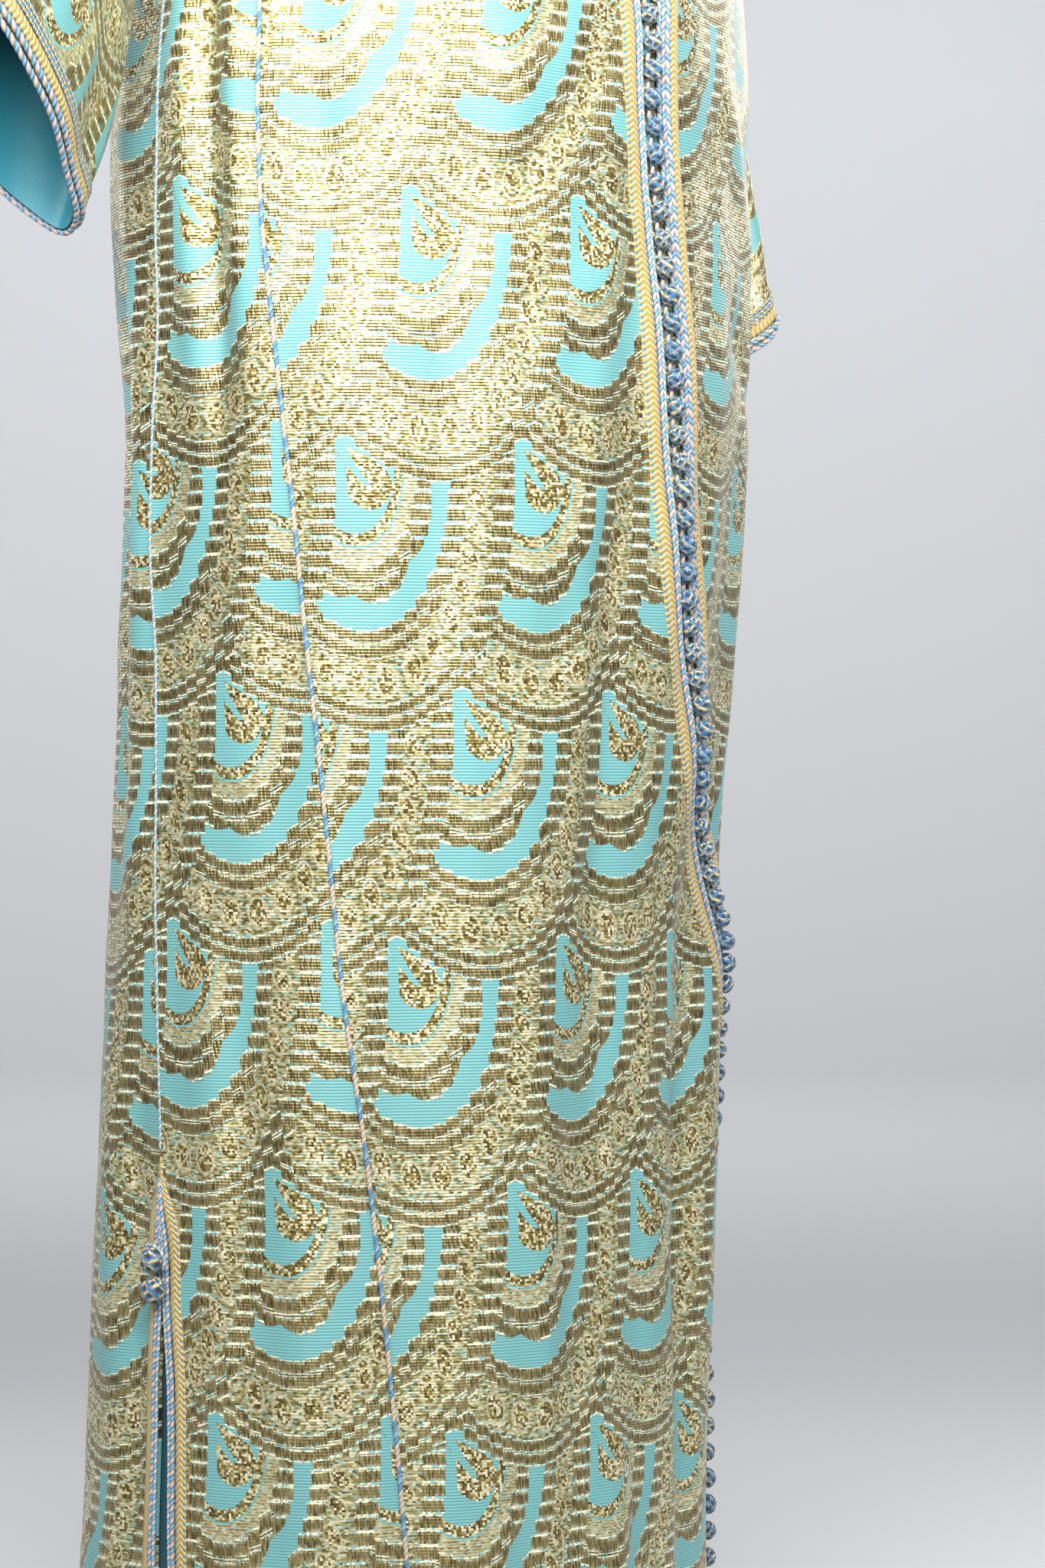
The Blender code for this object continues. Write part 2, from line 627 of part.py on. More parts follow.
def make_slit_trim(panels):
    """Braid round each slit in an inverted V, and the two knots that hold its top."""
    back = panels["back"]
    for side, column, gore in (("right", 3, panels["front_gore_right"]), ("left", 5, panels["front_gore_left"])):
        sign = 1 if side == "right" else -1
        last_gore, last_back = gore.points.shape[1] - 1, back.points.shape[1] - 1
        legs = {}
        for leg in ("gore", "back"):
            panel, last = (gore, last_gore) if leg == "gore" else (back, last_back)
            at_start = (side == "right") == (leg == "gore")
            rows = []
            for z in (HEM_Z + 0.002, -1.37, -1.29, -1.205, -1.165, -1.135):
                narrowing = ease((SLIT_APEX_Z - 0.002 - z) / 0.055)
                edge = panel.at(0.0 if at_start else last - 1e-6, z, 0.0)[0]
                inner = panel.at(1.0 if at_start else last - 1.0, z, 0.0)[0]
                width = np.linalg.norm(inner - edge)
                pair = []
                for distance in (0.0014 + 0.0046 * narrowing, 0.0094 + 0.0046 * narrowing):
                    share = distance / width
                    pair.append(panel.at(share if at_start else last - share, z, LIFT + 0.0006))
                rows.append(pair)
            legs[leg] = rows
        tip = []
        for z in (SLIT_APEX_Z - 0.011, SLIT_APEX_Z):
            point, way = body_point(seam_t(column, z), z)
            tip.append((point + way * (LIFT + 0.0016), way))
        path = legs["gore"] + [tip] + legs["back"][::-1]
        sheet(
            "slit_braid_" + side,
            [[p for p, _ in row] for row in path],
            "braid",
            BRAID_T,
            outwards=True,
            normals=[[w for _, w in row] for row in path],
        )
        for number, z in enumerate((-1.176, -1.194)):
            centre = body_point(seam_t(column, z), z, LIFT + BRAID_T + SLIT_KNOT_R + 0.0012)[0]
            bm = bmesh.new()
            bmesh.ops.create_uvsphere(bm, u_segments=10, v_segments=6, radius=SLIT_KNOT_R)
            mesh = bpy.data.meshes.new("slit_knot_%s_%d" % (side, number + 1))
            bm.to_mesh(mesh)
            bm.free()
            mesh.shade_smooth()
            obj = bpy.data.objects.new(mesh.name, mesh)
            obj.location = centre
            finish(obj, "knot")


def make_seam_cords(panels):
    for name, panel, share, other, other_share in (
        ("gore_cord_right", "front_right", 0, "front_gore_right", -1),
        ("gore_cord_left", "front_left", -1, "front_gore_left", 0),
        ("side_cord_right", "front_gore_right", 0, "back", -1),
        ("side_cord_left", "front_gore_left", -1, "back", 0),
    ):
        a, b = panels[panel], panels[other]
        radius = CORD_R if name.startswith("gore") else 0.0009
        path = []
        for i in range(len(LOWER_ROWS)):
            z = list(reversed(LOWER_ROWS))[i]
            if name.startswith("side") and z < SLIT_APEX_Z:
                continue
            if z > -0.29:
                continue
            middle = (a.points[i, share] + b.points[i, other_share]) / 2
            path.append(middle + a.normals[i, share] * (LIFT + radius))
        if name.startswith("side"):
            path[0] = path[0] + (path[1] - path[0]) * 0.12
        else:
            path[0] = path[0] + (path[1] - path[0]) * 0.02
        cord(name, path, radius, "cord")


def make_neck_braid():
    rows = []
    for out_share in (0.0, 1.0):
        row = []
        for angle in range(-152, 153, 8):
            a = abs(angle)
            a_r = math.radians(a)
            x = NECK_X * math.sin(a_r)
            side = -1 if math.cos(a_r) < 0 else 1
            q = BACK_REACH * math.cos(a_r) ** 0.9 if side > 0 else -FRONT_REACH * (-math.cos(a_r)) ** 0.9
            point, normal = shoulder_surface(x, q, 0.0)
            row.append(point * np.array([math.copysign(1, angle), 1, 1]) + np.array([0, 0, 0.0015 + 0.008 * out_share]))
        rows.append(row)
    sheet("neck_braid", rows, "braid", BRAID_T)


home = empty_scene()
materials = make_materials()
body_panels = make_panels()
make_sleeve("right")
make_sleeve("left")
make_hood()
make_front_trim(body_panels)
make_seam_cords(body_panels)
make_slit_trim(body_panels)
make_facings(body_panels)
make_neck_braid()
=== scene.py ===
"""The looks of the djellaba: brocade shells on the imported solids' form, braid, twisted cord, knots, lining."""

import math

import bpy
import numpy as np
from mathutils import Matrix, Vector


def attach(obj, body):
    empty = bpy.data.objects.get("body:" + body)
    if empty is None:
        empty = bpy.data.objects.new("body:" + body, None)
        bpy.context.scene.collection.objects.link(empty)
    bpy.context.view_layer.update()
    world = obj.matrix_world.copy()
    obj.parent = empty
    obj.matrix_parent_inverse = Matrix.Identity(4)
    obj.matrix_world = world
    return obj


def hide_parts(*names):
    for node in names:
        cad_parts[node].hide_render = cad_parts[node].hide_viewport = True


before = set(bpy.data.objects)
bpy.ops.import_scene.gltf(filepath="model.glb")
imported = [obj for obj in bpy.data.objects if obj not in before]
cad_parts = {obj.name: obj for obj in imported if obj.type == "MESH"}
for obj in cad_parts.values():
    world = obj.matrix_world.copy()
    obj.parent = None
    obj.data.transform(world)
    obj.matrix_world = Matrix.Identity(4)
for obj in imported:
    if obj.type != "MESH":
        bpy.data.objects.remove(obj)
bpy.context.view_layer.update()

# ------------------------------------------------------------------ sizes and tables, as in the model
WALL = 0.0018
SEAM = 0.0003
HEM_Z = -1.44
UNDERARM_Z = -0.27
ARMHOLE_X = 0.205
NECK_X = 0.082
SHOULDER_DROP = 0.32
SHOULDER_ROLL = 0.06
FRONT_NECK_DROP = 0.072
BACK_NECK_DROP = 0.018
KNOT_R = 0.0050
SLIT_KNOT_R = 0.0062
KNOT_PITCH = 0.0166
SLIT_APEX_Z = -1.116
SLIT_OPEN_Z = -1.205
BACK_REACH = 0.060
FRONT_REACH = 0.110
HOOD_LIFT = 0.0075
SLEEVE_COLUMNS = 96

SECTION = [  # z, half_x, front_y, back_y, mid_y
    (-0.27, 0.2050, 0.150, 0.146, 0.000),
    (-0.34, 0.2120, 0.164, 0.160, 0.000),
    (-0.43, 0.2180, 0.176, 0.176, 0.000),
    (-0.55, 0.2190, 0.177, 0.177, 0.000),
    (-0.69, 0.2150, 0.174, 0.172, -0.004),
    (-0.82, 0.2130, 0.172, 0.172, 0.004),
    (-0.98, 0.2110, 0.170, 0.171, 0.016),
    (-1.17, 0.2110, 0.170, 0.172, 0.023),
    (-1.36, 0.2130, 0.172, 0.174, 0.028),
    (-1.44, 0.2140, 0.173, 0.176, 0.029),
]
CHEST = [  # z, front_y, back_y
    (0.03, 0.034, 0.052),
    (-0.02, 0.052, 0.070),
    (-0.07, 0.078, 0.092),
    (-0.13, 0.108, 0.114),
    (-0.20, 0.136, 0.134),
    (-0.27, 0.150, 0.146),
]
SEAMS = [  # z, opening, gore_right, side_right, gore_left, side_left
    (-0.27, 0.0, -89.0, -90.0, 89.0, 90.0),
    (-0.31, -0.4, -80.5, -92.5, 80.0, 92.0),
    (-0.36, -0.8, -75.5, -94.5, 75.5, 94.0),
    (-0.44, -1.2, -73.2, -96.0, 73.0, 96.0),
    (-0.53, 0.1, -73.2, -97.5, 74.0, 98.0),
    (-0.62, 2.7, -72.0, -99.5, 75.0, 99.5),
    (-0.69, 4.9, -70.2, -101.8, 76.0, 101.0),
    (-0.76, 8.6, -67.0, -101.5, 77.0, 102.5),
    (-0.82, 13.0, -64.0, -99.5, 78.5, 104.0),
    (-0.89, 20.5, -60.3, -97.8, 80.5, 105.5),
    (-0.95, 28.5, -57.4, -96.5, 82.5, 107.0),
    (-1.02, 40.0, -54.4, -95.2, 85.0, 109.0),
    (-1.11, 53.0, -49.8, -93.2, 88.0, 111.5),
    (-1.20, 57.0, -46.0, -91.5, 90.0, 113.5),
    (-1.36, 51.0, -40.6, -89.6, 92.5, 116.0),
    (-1.44, 49.0, -38.6, -89.0, 93.0, 117.0),
]
FOLDS = [  # t_top, t_hem, z_start, z_full, z_fade, depth, half_angle
    (14.0, 27.0, -0.84, -1.02, -1.60, -0.0060, 7.0),
    (30.0, 38.0, -0.90, -1.08, -1.34, 0.0090, 8.0),
    (60.0, 69.0, -0.62, -1.25, -9.00, 0.0130, 7.0),
    (74.0, 82.0, -0.62, -1.25, -9.00, -0.0120, 6.5),
    (90.0, 95.0, -0.60, -1.30, -9.00, 0.0150, 7.0),
    (104.0, 108.0, -0.66, -1.25, -9.00, -0.0110, 6.5),
    (119.0, 124.0, -0.52, -1.20, -9.00, 0.0160, 8.0),
    (138.0, 141.0, -0.58, -1.20, -9.00, -0.0110, 8.0),
    (157.0, 160.0, -0.50, -1.25, -9.00, 0.0130, 8.5),
    (178.0, 179.0, -0.60, -1.20, -9.00, -0.0090, 8.0),
    (199.0, 198.0, -0.52, -1.25, -9.00, 0.0110, 8.5),
    (218.0, 216.0, -0.66, -1.30, -9.00, -0.0050, 8.0),
    (244.0, 246.0, -0.70, -1.20, -9.00, 0.0040, 9.0),
]
FRONT_GAP = [(-0.06, 0.0045), (-0.25, 0.0040), (-0.42, 0.0034), (-0.455, 0.0), (-2.0, 0.0)]
SLIT_GAP = [(0.0, 0.0), (SLIT_OPEN_Z + 0.002, 0.0), (-1.25, 0.0036), (-1.44, 0.0060)]
LEAN = {"right": 0.28, "left": 0.18}  # how far a sleeve is fuller along its top than along its underside
SLEEVES = {  # share, over_x, over_y, over_z, under_x, under_y, under_z, half_width
    "right": [
        (0.12, -0.244, 0.004, -0.108, -0.2190, 0.006, -0.305, 0.080),
        (0.30, -0.290, 0.016, -0.186, -0.2295, 0.020, -0.365, 0.068),
        (0.52, -0.334, 0.028, -0.270, -0.2400, 0.030, -0.432, 0.058),
        (0.76, -0.378, 0.036, -0.352, -0.2500, 0.038, -0.510, 0.052),
        (1.00, -0.418, 0.038, -0.432, -0.2690, 0.047, -0.579, 0.048),
    ],
    "left": [
        (0.12, 0.239, 0.006, -0.125, 0.2200, 0.006, -0.312, 0.080),
        (0.30, 0.262, 0.022, -0.230, 0.2310, 0.022, -0.385, 0.069),
        (0.52, 0.276, 0.032, -0.345, 0.2355, 0.034, -0.460, 0.061),
        (0.76, 0.288, 0.020, -0.462, 0.2375, 0.020, -0.545, 0.058),
        (1.00, 0.298, 0.001, -0.580, 0.2390, 0.003, -0.628, 0.060),
    ],
}
HOOD = [  # angle, fold_x, fold_reach, fullness, rim_rise
    (0.0, 0.000, -0.395, 0.030, 0.012),
    (14.0, 0.040, -0.345, 0.031, 0.012),
    (30.0, 0.082, -0.255, 0.031, 0.013),
    (50.0, 0.122, -0.150, 0.029, 0.015),
    (72.0, 0.140, -0.060, 0.026, 0.017),
    (95.0, 0.132, 0.012, 0.022, 0.017),
    (118.0, 0.116, 0.060, 0.017, 0.014),
    (140.0, 0.082, 0.096, 0.011, 0.010),
    (158.0, 0.044, 0.112, 0.006, 0.006),
]
HOOD_RUN = [  # share of the way to the fold, lift
    (0.06, 0.0), (0.20, 0.0), (0.36, 0.0), (0.54, 0.0), (0.72, 0.02), (0.88, 0.06), (0.97, 0.16), (1.00, 0.36),
    (0.96, 0.58), (0.84, 0.80), (0.66, 0.94), (0.46, 1.0), (0.27, 1.0), (0.12, 1.0), (-0.02, 1.02),
]

# Creases on the body: each runs between two places, and is a ridge or, negative, a trough.
CREASES = [  # t_from, z_from, t_to, z_to, depth, half_width
    (-92.0, -0.36, -90.0, -0.70, 0.0045, 0.012),
    (-84.5, -0.38, -84.0, -0.74, -0.0051, 0.010),
    (-79.0, -0.34, -78.0, -0.66, 0.0045, 0.010),
    (-66.0, -0.36, -60.0, -0.62, -0.0033, 0.016),
    (-110.0, -0.40, -106.0, -0.86, 0.0054, 0.016),
    (-118.0, -0.52, -112.0, -1.05, -0.0060, 0.018),
    (-40.0, -0.30, -30.0, -0.52, 0.0027, 0.022),
    (-52.0, -0.30, -50.0, -0.48, -0.0027, 0.018),
    (-8.0, -0.44, -34.0, -0.58, -0.0027, 0.014),
    (-4.0, -0.56, -28.0, -0.66, 0.0024, 0.014),
    (2.0, -0.70, -24.0, -0.84, -0.0027, 0.018),
    (-30.0, -0.80, -18.0, -1.30, 0.0045, 0.026),
    (-6.0, -0.88, 6.0, -1.40, -0.0051, 0.022),
    (12.0, -0.90, 20.0, -1.42, 0.0036, 0.014),
    (-60.0, -0.95, -58.0, -1.42, 0.0054, 0.024),
    (-74.0, -0.92, -72.0, -1.42, -0.0045, 0.020),
    (-100.0, -1.00, -98.0, -1.42, -0.0051, 0.014),
    (20.0, -0.46, 44.0, -0.58, 0.0033, 0.015),
    (24.0, -0.60, 50.0, -0.68, -0.0036, 0.015),
    (60.0, -0.36, 66.0, -0.72, 0.0054, 0.014),
    (80.0, -0.36, 82.0, -0.70, -0.0054, 0.012),
    (100.0, -0.34, 103.0, -0.80, 0.0051, 0.013),
    (128.0, -0.36, 132.0, -0.86, -0.0051, 0.020),
    (150.0, -0.62, 214.0, -0.66, -0.0039, 0.016),
    (146.0, -0.70, 206.0, -0.76, 0.0036, 0.018),
    (172.0, -0.80, 174.0, -1.40, 0.0051, 0.020),
    (226.0, -0.84, 228.0, -1.42, -0.0045, 0.022),
    (208.0, -0.46, 214.0, -0.90, 0.0045, 0.022),
]
# Creases of the chest and back above the underarm: x and z of both ends, and the side they are on.
UPPER_CREASES = [  # x_from, z_from, x_to, z_to, side, depth, half_width
    (-0.195, -0.23, -0.120, -0.14, -1, 0.0034, 0.011),
    (-0.198, -0.25, -0.095, -0.22, -1, -0.0034, 0.012),
    (0.195, -0.23, 0.125, -0.15, -1, 0.0034, 0.011),
    (0.198, -0.25, 0.100, -0.21, -1, -0.0034, 0.012),
    (-0.150, -0.06, -0.100, -0.16, -1, 0.0022, 0.014),
    (0.150, -0.06, 0.095, -0.17, -1, 0.0022, 0.014),
    (-0.195, -0.23, -0.110, -0.15, 1, 0.0034, 0.012),
    (0.195, -0.24, 0.110, -0.17, 1, -0.0034, 0.012),
]


# ------------------------------------------------------------------ curves and surfaces
def smooth(rows, column, x):
    xs = np.array([row[0] for row in rows], float)
    ys = np.array([row[column] for row in rows], float)
    if xs[0] > xs[-1]:
        xs, ys = xs[::-1], ys[::-1]
    x = np.clip(np.asarray(x, float), xs[0], xs[-1])
    slopes = np.gradient(ys, xs)
    i = np.clip(np.searchsorted(xs, x) - 1, 0, len(xs) - 2)
    step = xs[i + 1] - xs[i]
    u = (x - xs[i]) / step
    return (
        ys[i] * (1 + 2 * u) * (1 - u) ** 2
        + slopes[i] * step * u * (1 - u) ** 2
        + ys[i + 1] * u * u * (3 - 2 * u)
        + slopes[i + 1] * step * u * u * (u - 1)
    )


def straight(rows, x):
    pairs = sorted(rows)
    return np.interp(x, [p[0] for p in pairs], [p[1] for p in pairs])


def ease(x):
    x = np.clip(x, 0.0, 1.0)
    return x * x * (3 - 2 * x)


def fold_depth(t, z):
    t, z = np.broadcast_arrays(np.asarray(t, float), np.asarray(z, float))
    total = np.zeros(t.shape)
    for t_top, t_hem, z_start, z_full, z_fade, depth, half_angle in FOLDS:
        middle = t_top + (t_hem - t_top) * ease((z_start - z) / (z_start - HEM_Z))
        away = (t - middle + 180.0) % 360.0 - 180.0
        size = ease((z_start - z) / (z_start - z_full))
        if z_fade > HEM_Z - 0.2:
            size = size * np.where(z < z_fade, 0.45, 1 - 0.55 * ease((z_full - z) / (z_full - z_fade)))
        total += np.where(z < z_start, depth * size * np.exp(-((away / half_angle) ** 2)), 0.0)
    return total


def body_base(t, z):
    t, z = np.broadcast_arrays(np.asarray(t, float), np.asarray(z, float))
    half_x, mid_y = smooth(SECTION, 1, z), smooth(SECTION, 4, z)
    s, c = np.sin(np.radians(t)), np.cos(np.radians(t))
    half_y = np.where(c > 0, smooth(SECTION, 2, z), smooth(SECTION, 3, z))
    normal = np.stack([s / half_x, -c / half_y, np.zeros(t.shape)], -1)
    normal /= np.linalg.norm(normal, axis=-1, keepdims=True)
    point = np.stack([half_x * s, mid_y - half_y * c, z], -1)
    return point + normal * fold_depth(t, z)[..., None], normal


def shoulder_z(x):
    return -0.006 - SHOULDER_DROP * np.maximum(np.abs(x) - NECK_X, 0.0)


def depth_at(x, z, side):
    depth = np.where(np.asarray(side) < 0, smooth(CHEST, 1, z), smooth(CHEST, 2, z))
    edge = ARMHOLE_X + 0.040 * ease((z - UNDERARM_Z) / 0.06)
    across = np.sqrt(np.maximum(1 - (x / edge) ** 2, 0.0))
    h = np.clip((shoulder_z(x) - z) / SHOULDER_ROLL, 0.0, 1.0)
    return depth * across * np.sqrt(1 - (1 - h) ** 2)


def upper_base(x, z, side):
    x, z, side = np.broadcast_arrays(np.asarray(x, float), np.asarray(z, float), np.asarray(side, float))
    step = 1e-5
    depth = depth_at(x, z, side)
    slope_x = (depth_at(x + step, z, side) - depth_at(x - step, z, side)) / (2 * step)
    slope_z = (depth - depth_at(x, z - step, side)) / step
    normal = np.stack([-slope_x, side, -slope_z], -1)
    normal /= np.linalg.norm(normal, axis=-1, keepdims=True)
    return np.stack([x, side * (depth + SEAM / 2), z], -1), normal


def crease_table():
    rows = []
    for t0, z0, t1, z1, depth, width in CREASES:
        run = np.linspace(0, 1, 12)
        line = body_base(t0 + (t1 - t0) * run, z0 + (z1 - z0) * run)[0]
        rows.append((line, depth, width))
    for x0, z0, x1, z1, side, depth, width in UPPER_CREASES:
        run = np.linspace(0, 1, 8)
        line = upper_base(x0 + (x1 - x0) * run, z0 + (z1 - z0) * run, side)[0]
        rows.append((line, depth, width))
    return rows


def crease_depth(points, rows):
    """How far the creases move each point out: round in section, and fading at both ends."""
    flat = points.reshape(-1, 3)
    total = np.zeros(len(flat))
    for line, depth, width in rows:
        low, high = line.min(0) - 3 * width, line.max(0) + 3 * width
        near = np.all((flat > low) & (flat < high), axis=1)
        if not near.any():
            continue
        p = flat[near]
        best = np.full(len(p), 1e9)
        along = np.zeros(len(p))
        for k in range(len(line) - 1):
            a, d = line[k], line[k + 1] - line[k]
            u = np.clip(((p - a) @ d) / (d @ d), 0, 1)
            away = np.linalg.norm(p - a - u[:, None] * d, axis=1)
            closer = away < best
            best = np.where(closer, away, best)
            along = np.where(closer, (k + u) / (len(line) - 1), along)
        ends = ease(along / 0.3) * ease((1 - along) / 0.3)
        total[near] += depth * np.exp(-((best / width) ** 2)) * (0.25 + 0.75 * ends) * np.where((along > 0.001) & (along < 0.999), 1, np.exp(-((best / width) ** 2)))
    return total.reshape(points.shape[:-1])


def ripple(points):
    """Slight unevenness of hanging cloth, mostly in upright waves."""
    x, y, z = points[..., 0], points[..., 1], points[..., 2]
    t = np.arctan2(x, -y)
    low = ease((-0.35 - z) / 0.5)
    wave = (
        0.0022 * np.sin(9 * t + 1.3 + 1.9 * np.sin(2.6 * z + 0.4))
        + 0.0014 * np.sin(17 * t + 0.5 + 1.5 * np.sin(4.3 * z))
        + 0.0006 * np.sin(29 * t + 2.2 + 2.2 * np.sin(6.7 * z + 1.0))
    ) * (0.35 + 0.65 * low)
    cross = 0.0006 * np.sin(31 * z + 2.4 * np.sin(2 * t + 0.7)) + 0.0004 * np.sin(67 * z + 3 * np.sin(3 * t))
    return wave + cross * (1 - 0.5 * low)


BODY_CREASES = crease_table()


def dressed(point, normal, out=0.0):
    return point + normal * (crease_depth(point, BODY_CREASES) + ripple(point) + out)[..., None]


def neck_z(x, side):
    drop = np.where(np.asarray(side) < 0, FRONT_NECK_DROP, BACK_NECK_DROP)
    return -0.006 - drop * np.sqrt(np.maximum(1 - (x / NECK_X) ** 2, 0.0))


def top_z(x, side):
    return np.where(np.abs(x) < NECK_X, neck_z(x, side), shoulder_z(x))


def radius_at(t, z):
    return np.hypot(smooth(SECTION, 1, z) * np.cos(np.radians(t)), smooth(SECTION, 2, z) * np.sin(np.radians(t)))


def degrees_of(distance, t, z):
    return np.degrees(distance / radius_at(t, z))


def opening_edge(z, side):
    t = smooth(SEAMS, 1, z)
    return t + side * degrees_of(SEAM / 2 + straight(FRONT_GAP, z), t, z)


def plain_edge(column, side):
    return lambda z: smooth(SEAMS, column, z) + side * degrees_of(SEAM / 2, smooth(SEAMS, column, z), z)


def slit_edge(column, side):
    return lambda z: smooth(SEAMS, column, z) + side * degrees_of(SEAM / 2 + straight(SLIT_GAP, z), smooth(SEAMS, column, z), z)


# ------------------------------------------------------------------ meshes
def normals_of(grid, like, wrap=False):
    """Upright directions on a grid of points, on the side of the given ones."""
    down = np.gradient(grid, axis=0)
    across = (np.roll(grid, -1, 1) - np.roll(grid, 1, 1)) if wrap else np.gradient(grid, axis=1)
    n = np.cross(across, down)
    n /= np.maximum(np.linalg.norm(n, axis=-1, keepdims=True), 1e-12)
    n *= np.sign((n * like).sum(-1, keepdims=True) + 1e-12)
    return n


def put_cloth(mesh, values):
    attribute = mesh.attributes.new("cloth", "FLOAT_VECTOR", "POINT")
    attribute.data.foreach_set("vector", np.asarray(values, np.float32).ravel())


def make_object(name, points, faces, cloth, materials, face_materials=None):
    mesh = bpy.data.meshes.new(name)
    mesh.from_pydata([tuple(p) for p in points.tolist()], [], faces)
    put_cloth(mesh, cloth)
    for material in materials:
        mesh.materials.append(material)
    if face_materials is not None:
        mesh.polygons.foreach_set("material_index", np.asarray(face_materials, np.int32))
    mesh.shade_smooth()
    mesh.set_sharp_from_angle(angle=math.radians(55))
    mesh.update()
    obj = bpy.data.objects.new(name, mesh)
    bpy.context.scene.collection.objects.link(obj)
    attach(obj, "root")
    return obj


def shell(name, outer, normals, cloth, thickness, materials, wrap=False):
    """A grid of points as one closed cloth: outer face, inner face and the edges between."""
    rows, columns = outer.shape[:2]
    inner = outer - normals * thickness
    points = np.concatenate([outer.reshape(-1, 3), inner.reshape(-1, 3)])
    cloth = np.concatenate([cloth.reshape(-1, 3)] * 2)
    count = rows * columns
    spans = columns if wrap else columns - 1
    i, j = np.meshgrid(np.arange(rows - 1), np.arange(spans), indexing="ij")
    a = (i * columns + j).ravel()
    b = (i * columns + (j + 1) % columns).ravel()
    c, d = b + columns, a + columns
    front = np.stack([a, b, c, d], 1)
    mid = len(front) // 2
    p = points[front[mid]]
    if np.cross(p[1] - p[0], p[3] - p[0]) @ normals.reshape(-1, 3)[front[mid][0]] < 0:
        front = front[:, ::-1]
    back = front[:, ::-1] + count
    faces = front.tolist() + back.tolist()
    which = [0] * len(front) + [1] * len(back)
    turned = front[0][0] != a[0] if len(front) else False
    rims = []
    line = np.arange(columns)
    for row in (0, rows - 1):
        start = row * columns + line
        for k in range(spans):
            rims.append((start[k], start[(k + 1) % columns], row == 0))
    if not wrap:
        for column in (0, columns - 1):
            for k in range(rows - 1):
                rims.append((k * columns + column, (k + 1) * columns + column, column != 0))
    for p0, p1, flip in rims:
        quad = [int(p0), int(p0 + count), int(p1 + count), int(p1)]
        faces.append(quad if flip != turned else quad[::-1])
        which.append(0)
    return make_object(name, points, faces, cloth, materials, [w if len(materials) > 1 else 0 for w in which])


def lengths_along(grid, axis):
    steps = np.linalg.norm(np.diff(grid, axis=axis), axis=-1)
    total = np.cumsum(steps, axis=axis)
    pad = [(0, 0), (0, 0)]
    pad[axis] = (1, 0)
    return np.pad(total, pad)


def declare(obj, grid, even=False):
    """States the cloth's flat size, from its own widths and lengths: the greatest ones, or for a folded piece the middling ones."""
    across, along = lengths_along(grid, 1)[:, -1], lengths_along(grid, 0)[-1]
    width, length = float(across.max()), float(along.max())
    if even:
        width, length = float(across.mean()), float(along.mean())
    a, b = grid[1:, 1:] - grid[:-1, :-1], grid[1:, :-1] - grid[:-1, 1:]
    area = float(np.linalg.norm(np.cross(a, b), axis=-1).sum() / 2)
    area = min(max(area, 0.31 * width * length), width * length)
    print("SHEET", obj.name, round(width, 3), round(length, 3), round(area, 3))


# ------------------------------------------------------------------ node-built materials
class Value:
    """A socket of the material being built, with arithmetic."""

    tree = None

    def __init__(self, socket):
        self.socket = socket

    @staticmethod
    def op(kind, *inputs, clamp=False):
        node = Value.tree.nodes.new("ShaderNodeMath")
        node.operation = kind
        node.use_clamp = clamp
        for slot, value in zip(node.inputs, inputs):
            if isinstance(value, Value):
                Value.tree.links.new(value.socket, slot)
            else:
                slot.default_value = float(value)
        return Value(node.outputs[0])

    def __add__(self, other):
        return Value.op("ADD", self, other)

    __radd__ = __add__

    def __sub__(self, other):
        return Value.op("SUBTRACT", self, other)

    def __rsub__(self, other):
        return Value.op("SUBTRACT", other, self)

    def __mul__(self, other):
        return Value.op("MULTIPLY", self, other)

    __rmul__ = __mul__

    def __truediv__(self, other):
        return Value.op("DIVIDE", self, other)

    def __lt__(self, other):
        return Value.op("LESS_THAN", self, other)

    def __gt__(self, other):
        return Value.op("GREATER_THAN", self, other)


def op(kind, *inputs, clamp=False):
    return Value.op(kind, *inputs, clamp=clamp)


def mix(share, a, b):
    """a where share is 0 and b where it is 1, for numbers."""
    return op("MULTIPLY_ADD", share, b - a if isinstance(b, Value) or isinstance(a, Value) else b - a, a)


def ramp(value, stops, constant=False):
    """A lookup of up to three numbers by a value: stops are (place, number or (r, g, b))."""
    node = Value.tree.nodes.new("ShaderNodeValToRGB")
    node.color_ramp.interpolation = "CONSTANT" if constant else "LINEAR"
    elements = node.color_ramp.elements
    while len(elements) > 1:
        elements.remove(elements[-1])
    for k, (place, number) in enumerate(stops):
        colour = (number, number, number, 1.0) if isinstance(number, (int, float)) else (*number, 1.0)
        element = elements[0] if k == 0 else elements.new(place)
        element.position = place
        element.color = colour
    Value.tree.links.new(value.socket, node.inputs[0])
    return node.outputs[0]


def split(socket):
    node = Value.tree.nodes.new("ShaderNodeSeparateColor")
    Value.tree.links.new(socket, node.inputs[0])
    return [Value(out) for out in node.outputs]


def one(socket):
    return split(socket)[0]


def vector(x, y, z=0.0):
    node = Value.tree.nodes.new("ShaderNodeCombineXYZ")
    for slot, value in zip(node.inputs, (x, y, z)):
        if isinstance(value, Value):
            Value.tree.links.new(value.socket, slot)
        else:
            slot.default_value = value
    return node.outputs[0]


def noise(where, scale, detail=2.0, rough=0.5):
    node = Value.tree.nodes.new("ShaderNodeTexNoise")
    node.inputs["Scale"].default_value = scale
    node.inputs["Detail"].default_value = detail
    node.inputs["Roughness"].default_value = rough
    Value.tree.links.new(where, node.inputs["Vector"])
    return Value(node.outputs[0])


def cell_random(where):
    """A random number for each whole-number cell of a vector."""
    node = Value.tree.nodes.new("ShaderNodeTexWhiteNoise")
    node.noise_dimensions = "3D"
    Value.tree.links.new(where, node.inputs["Vector"])
    return Value(node.outputs[0])


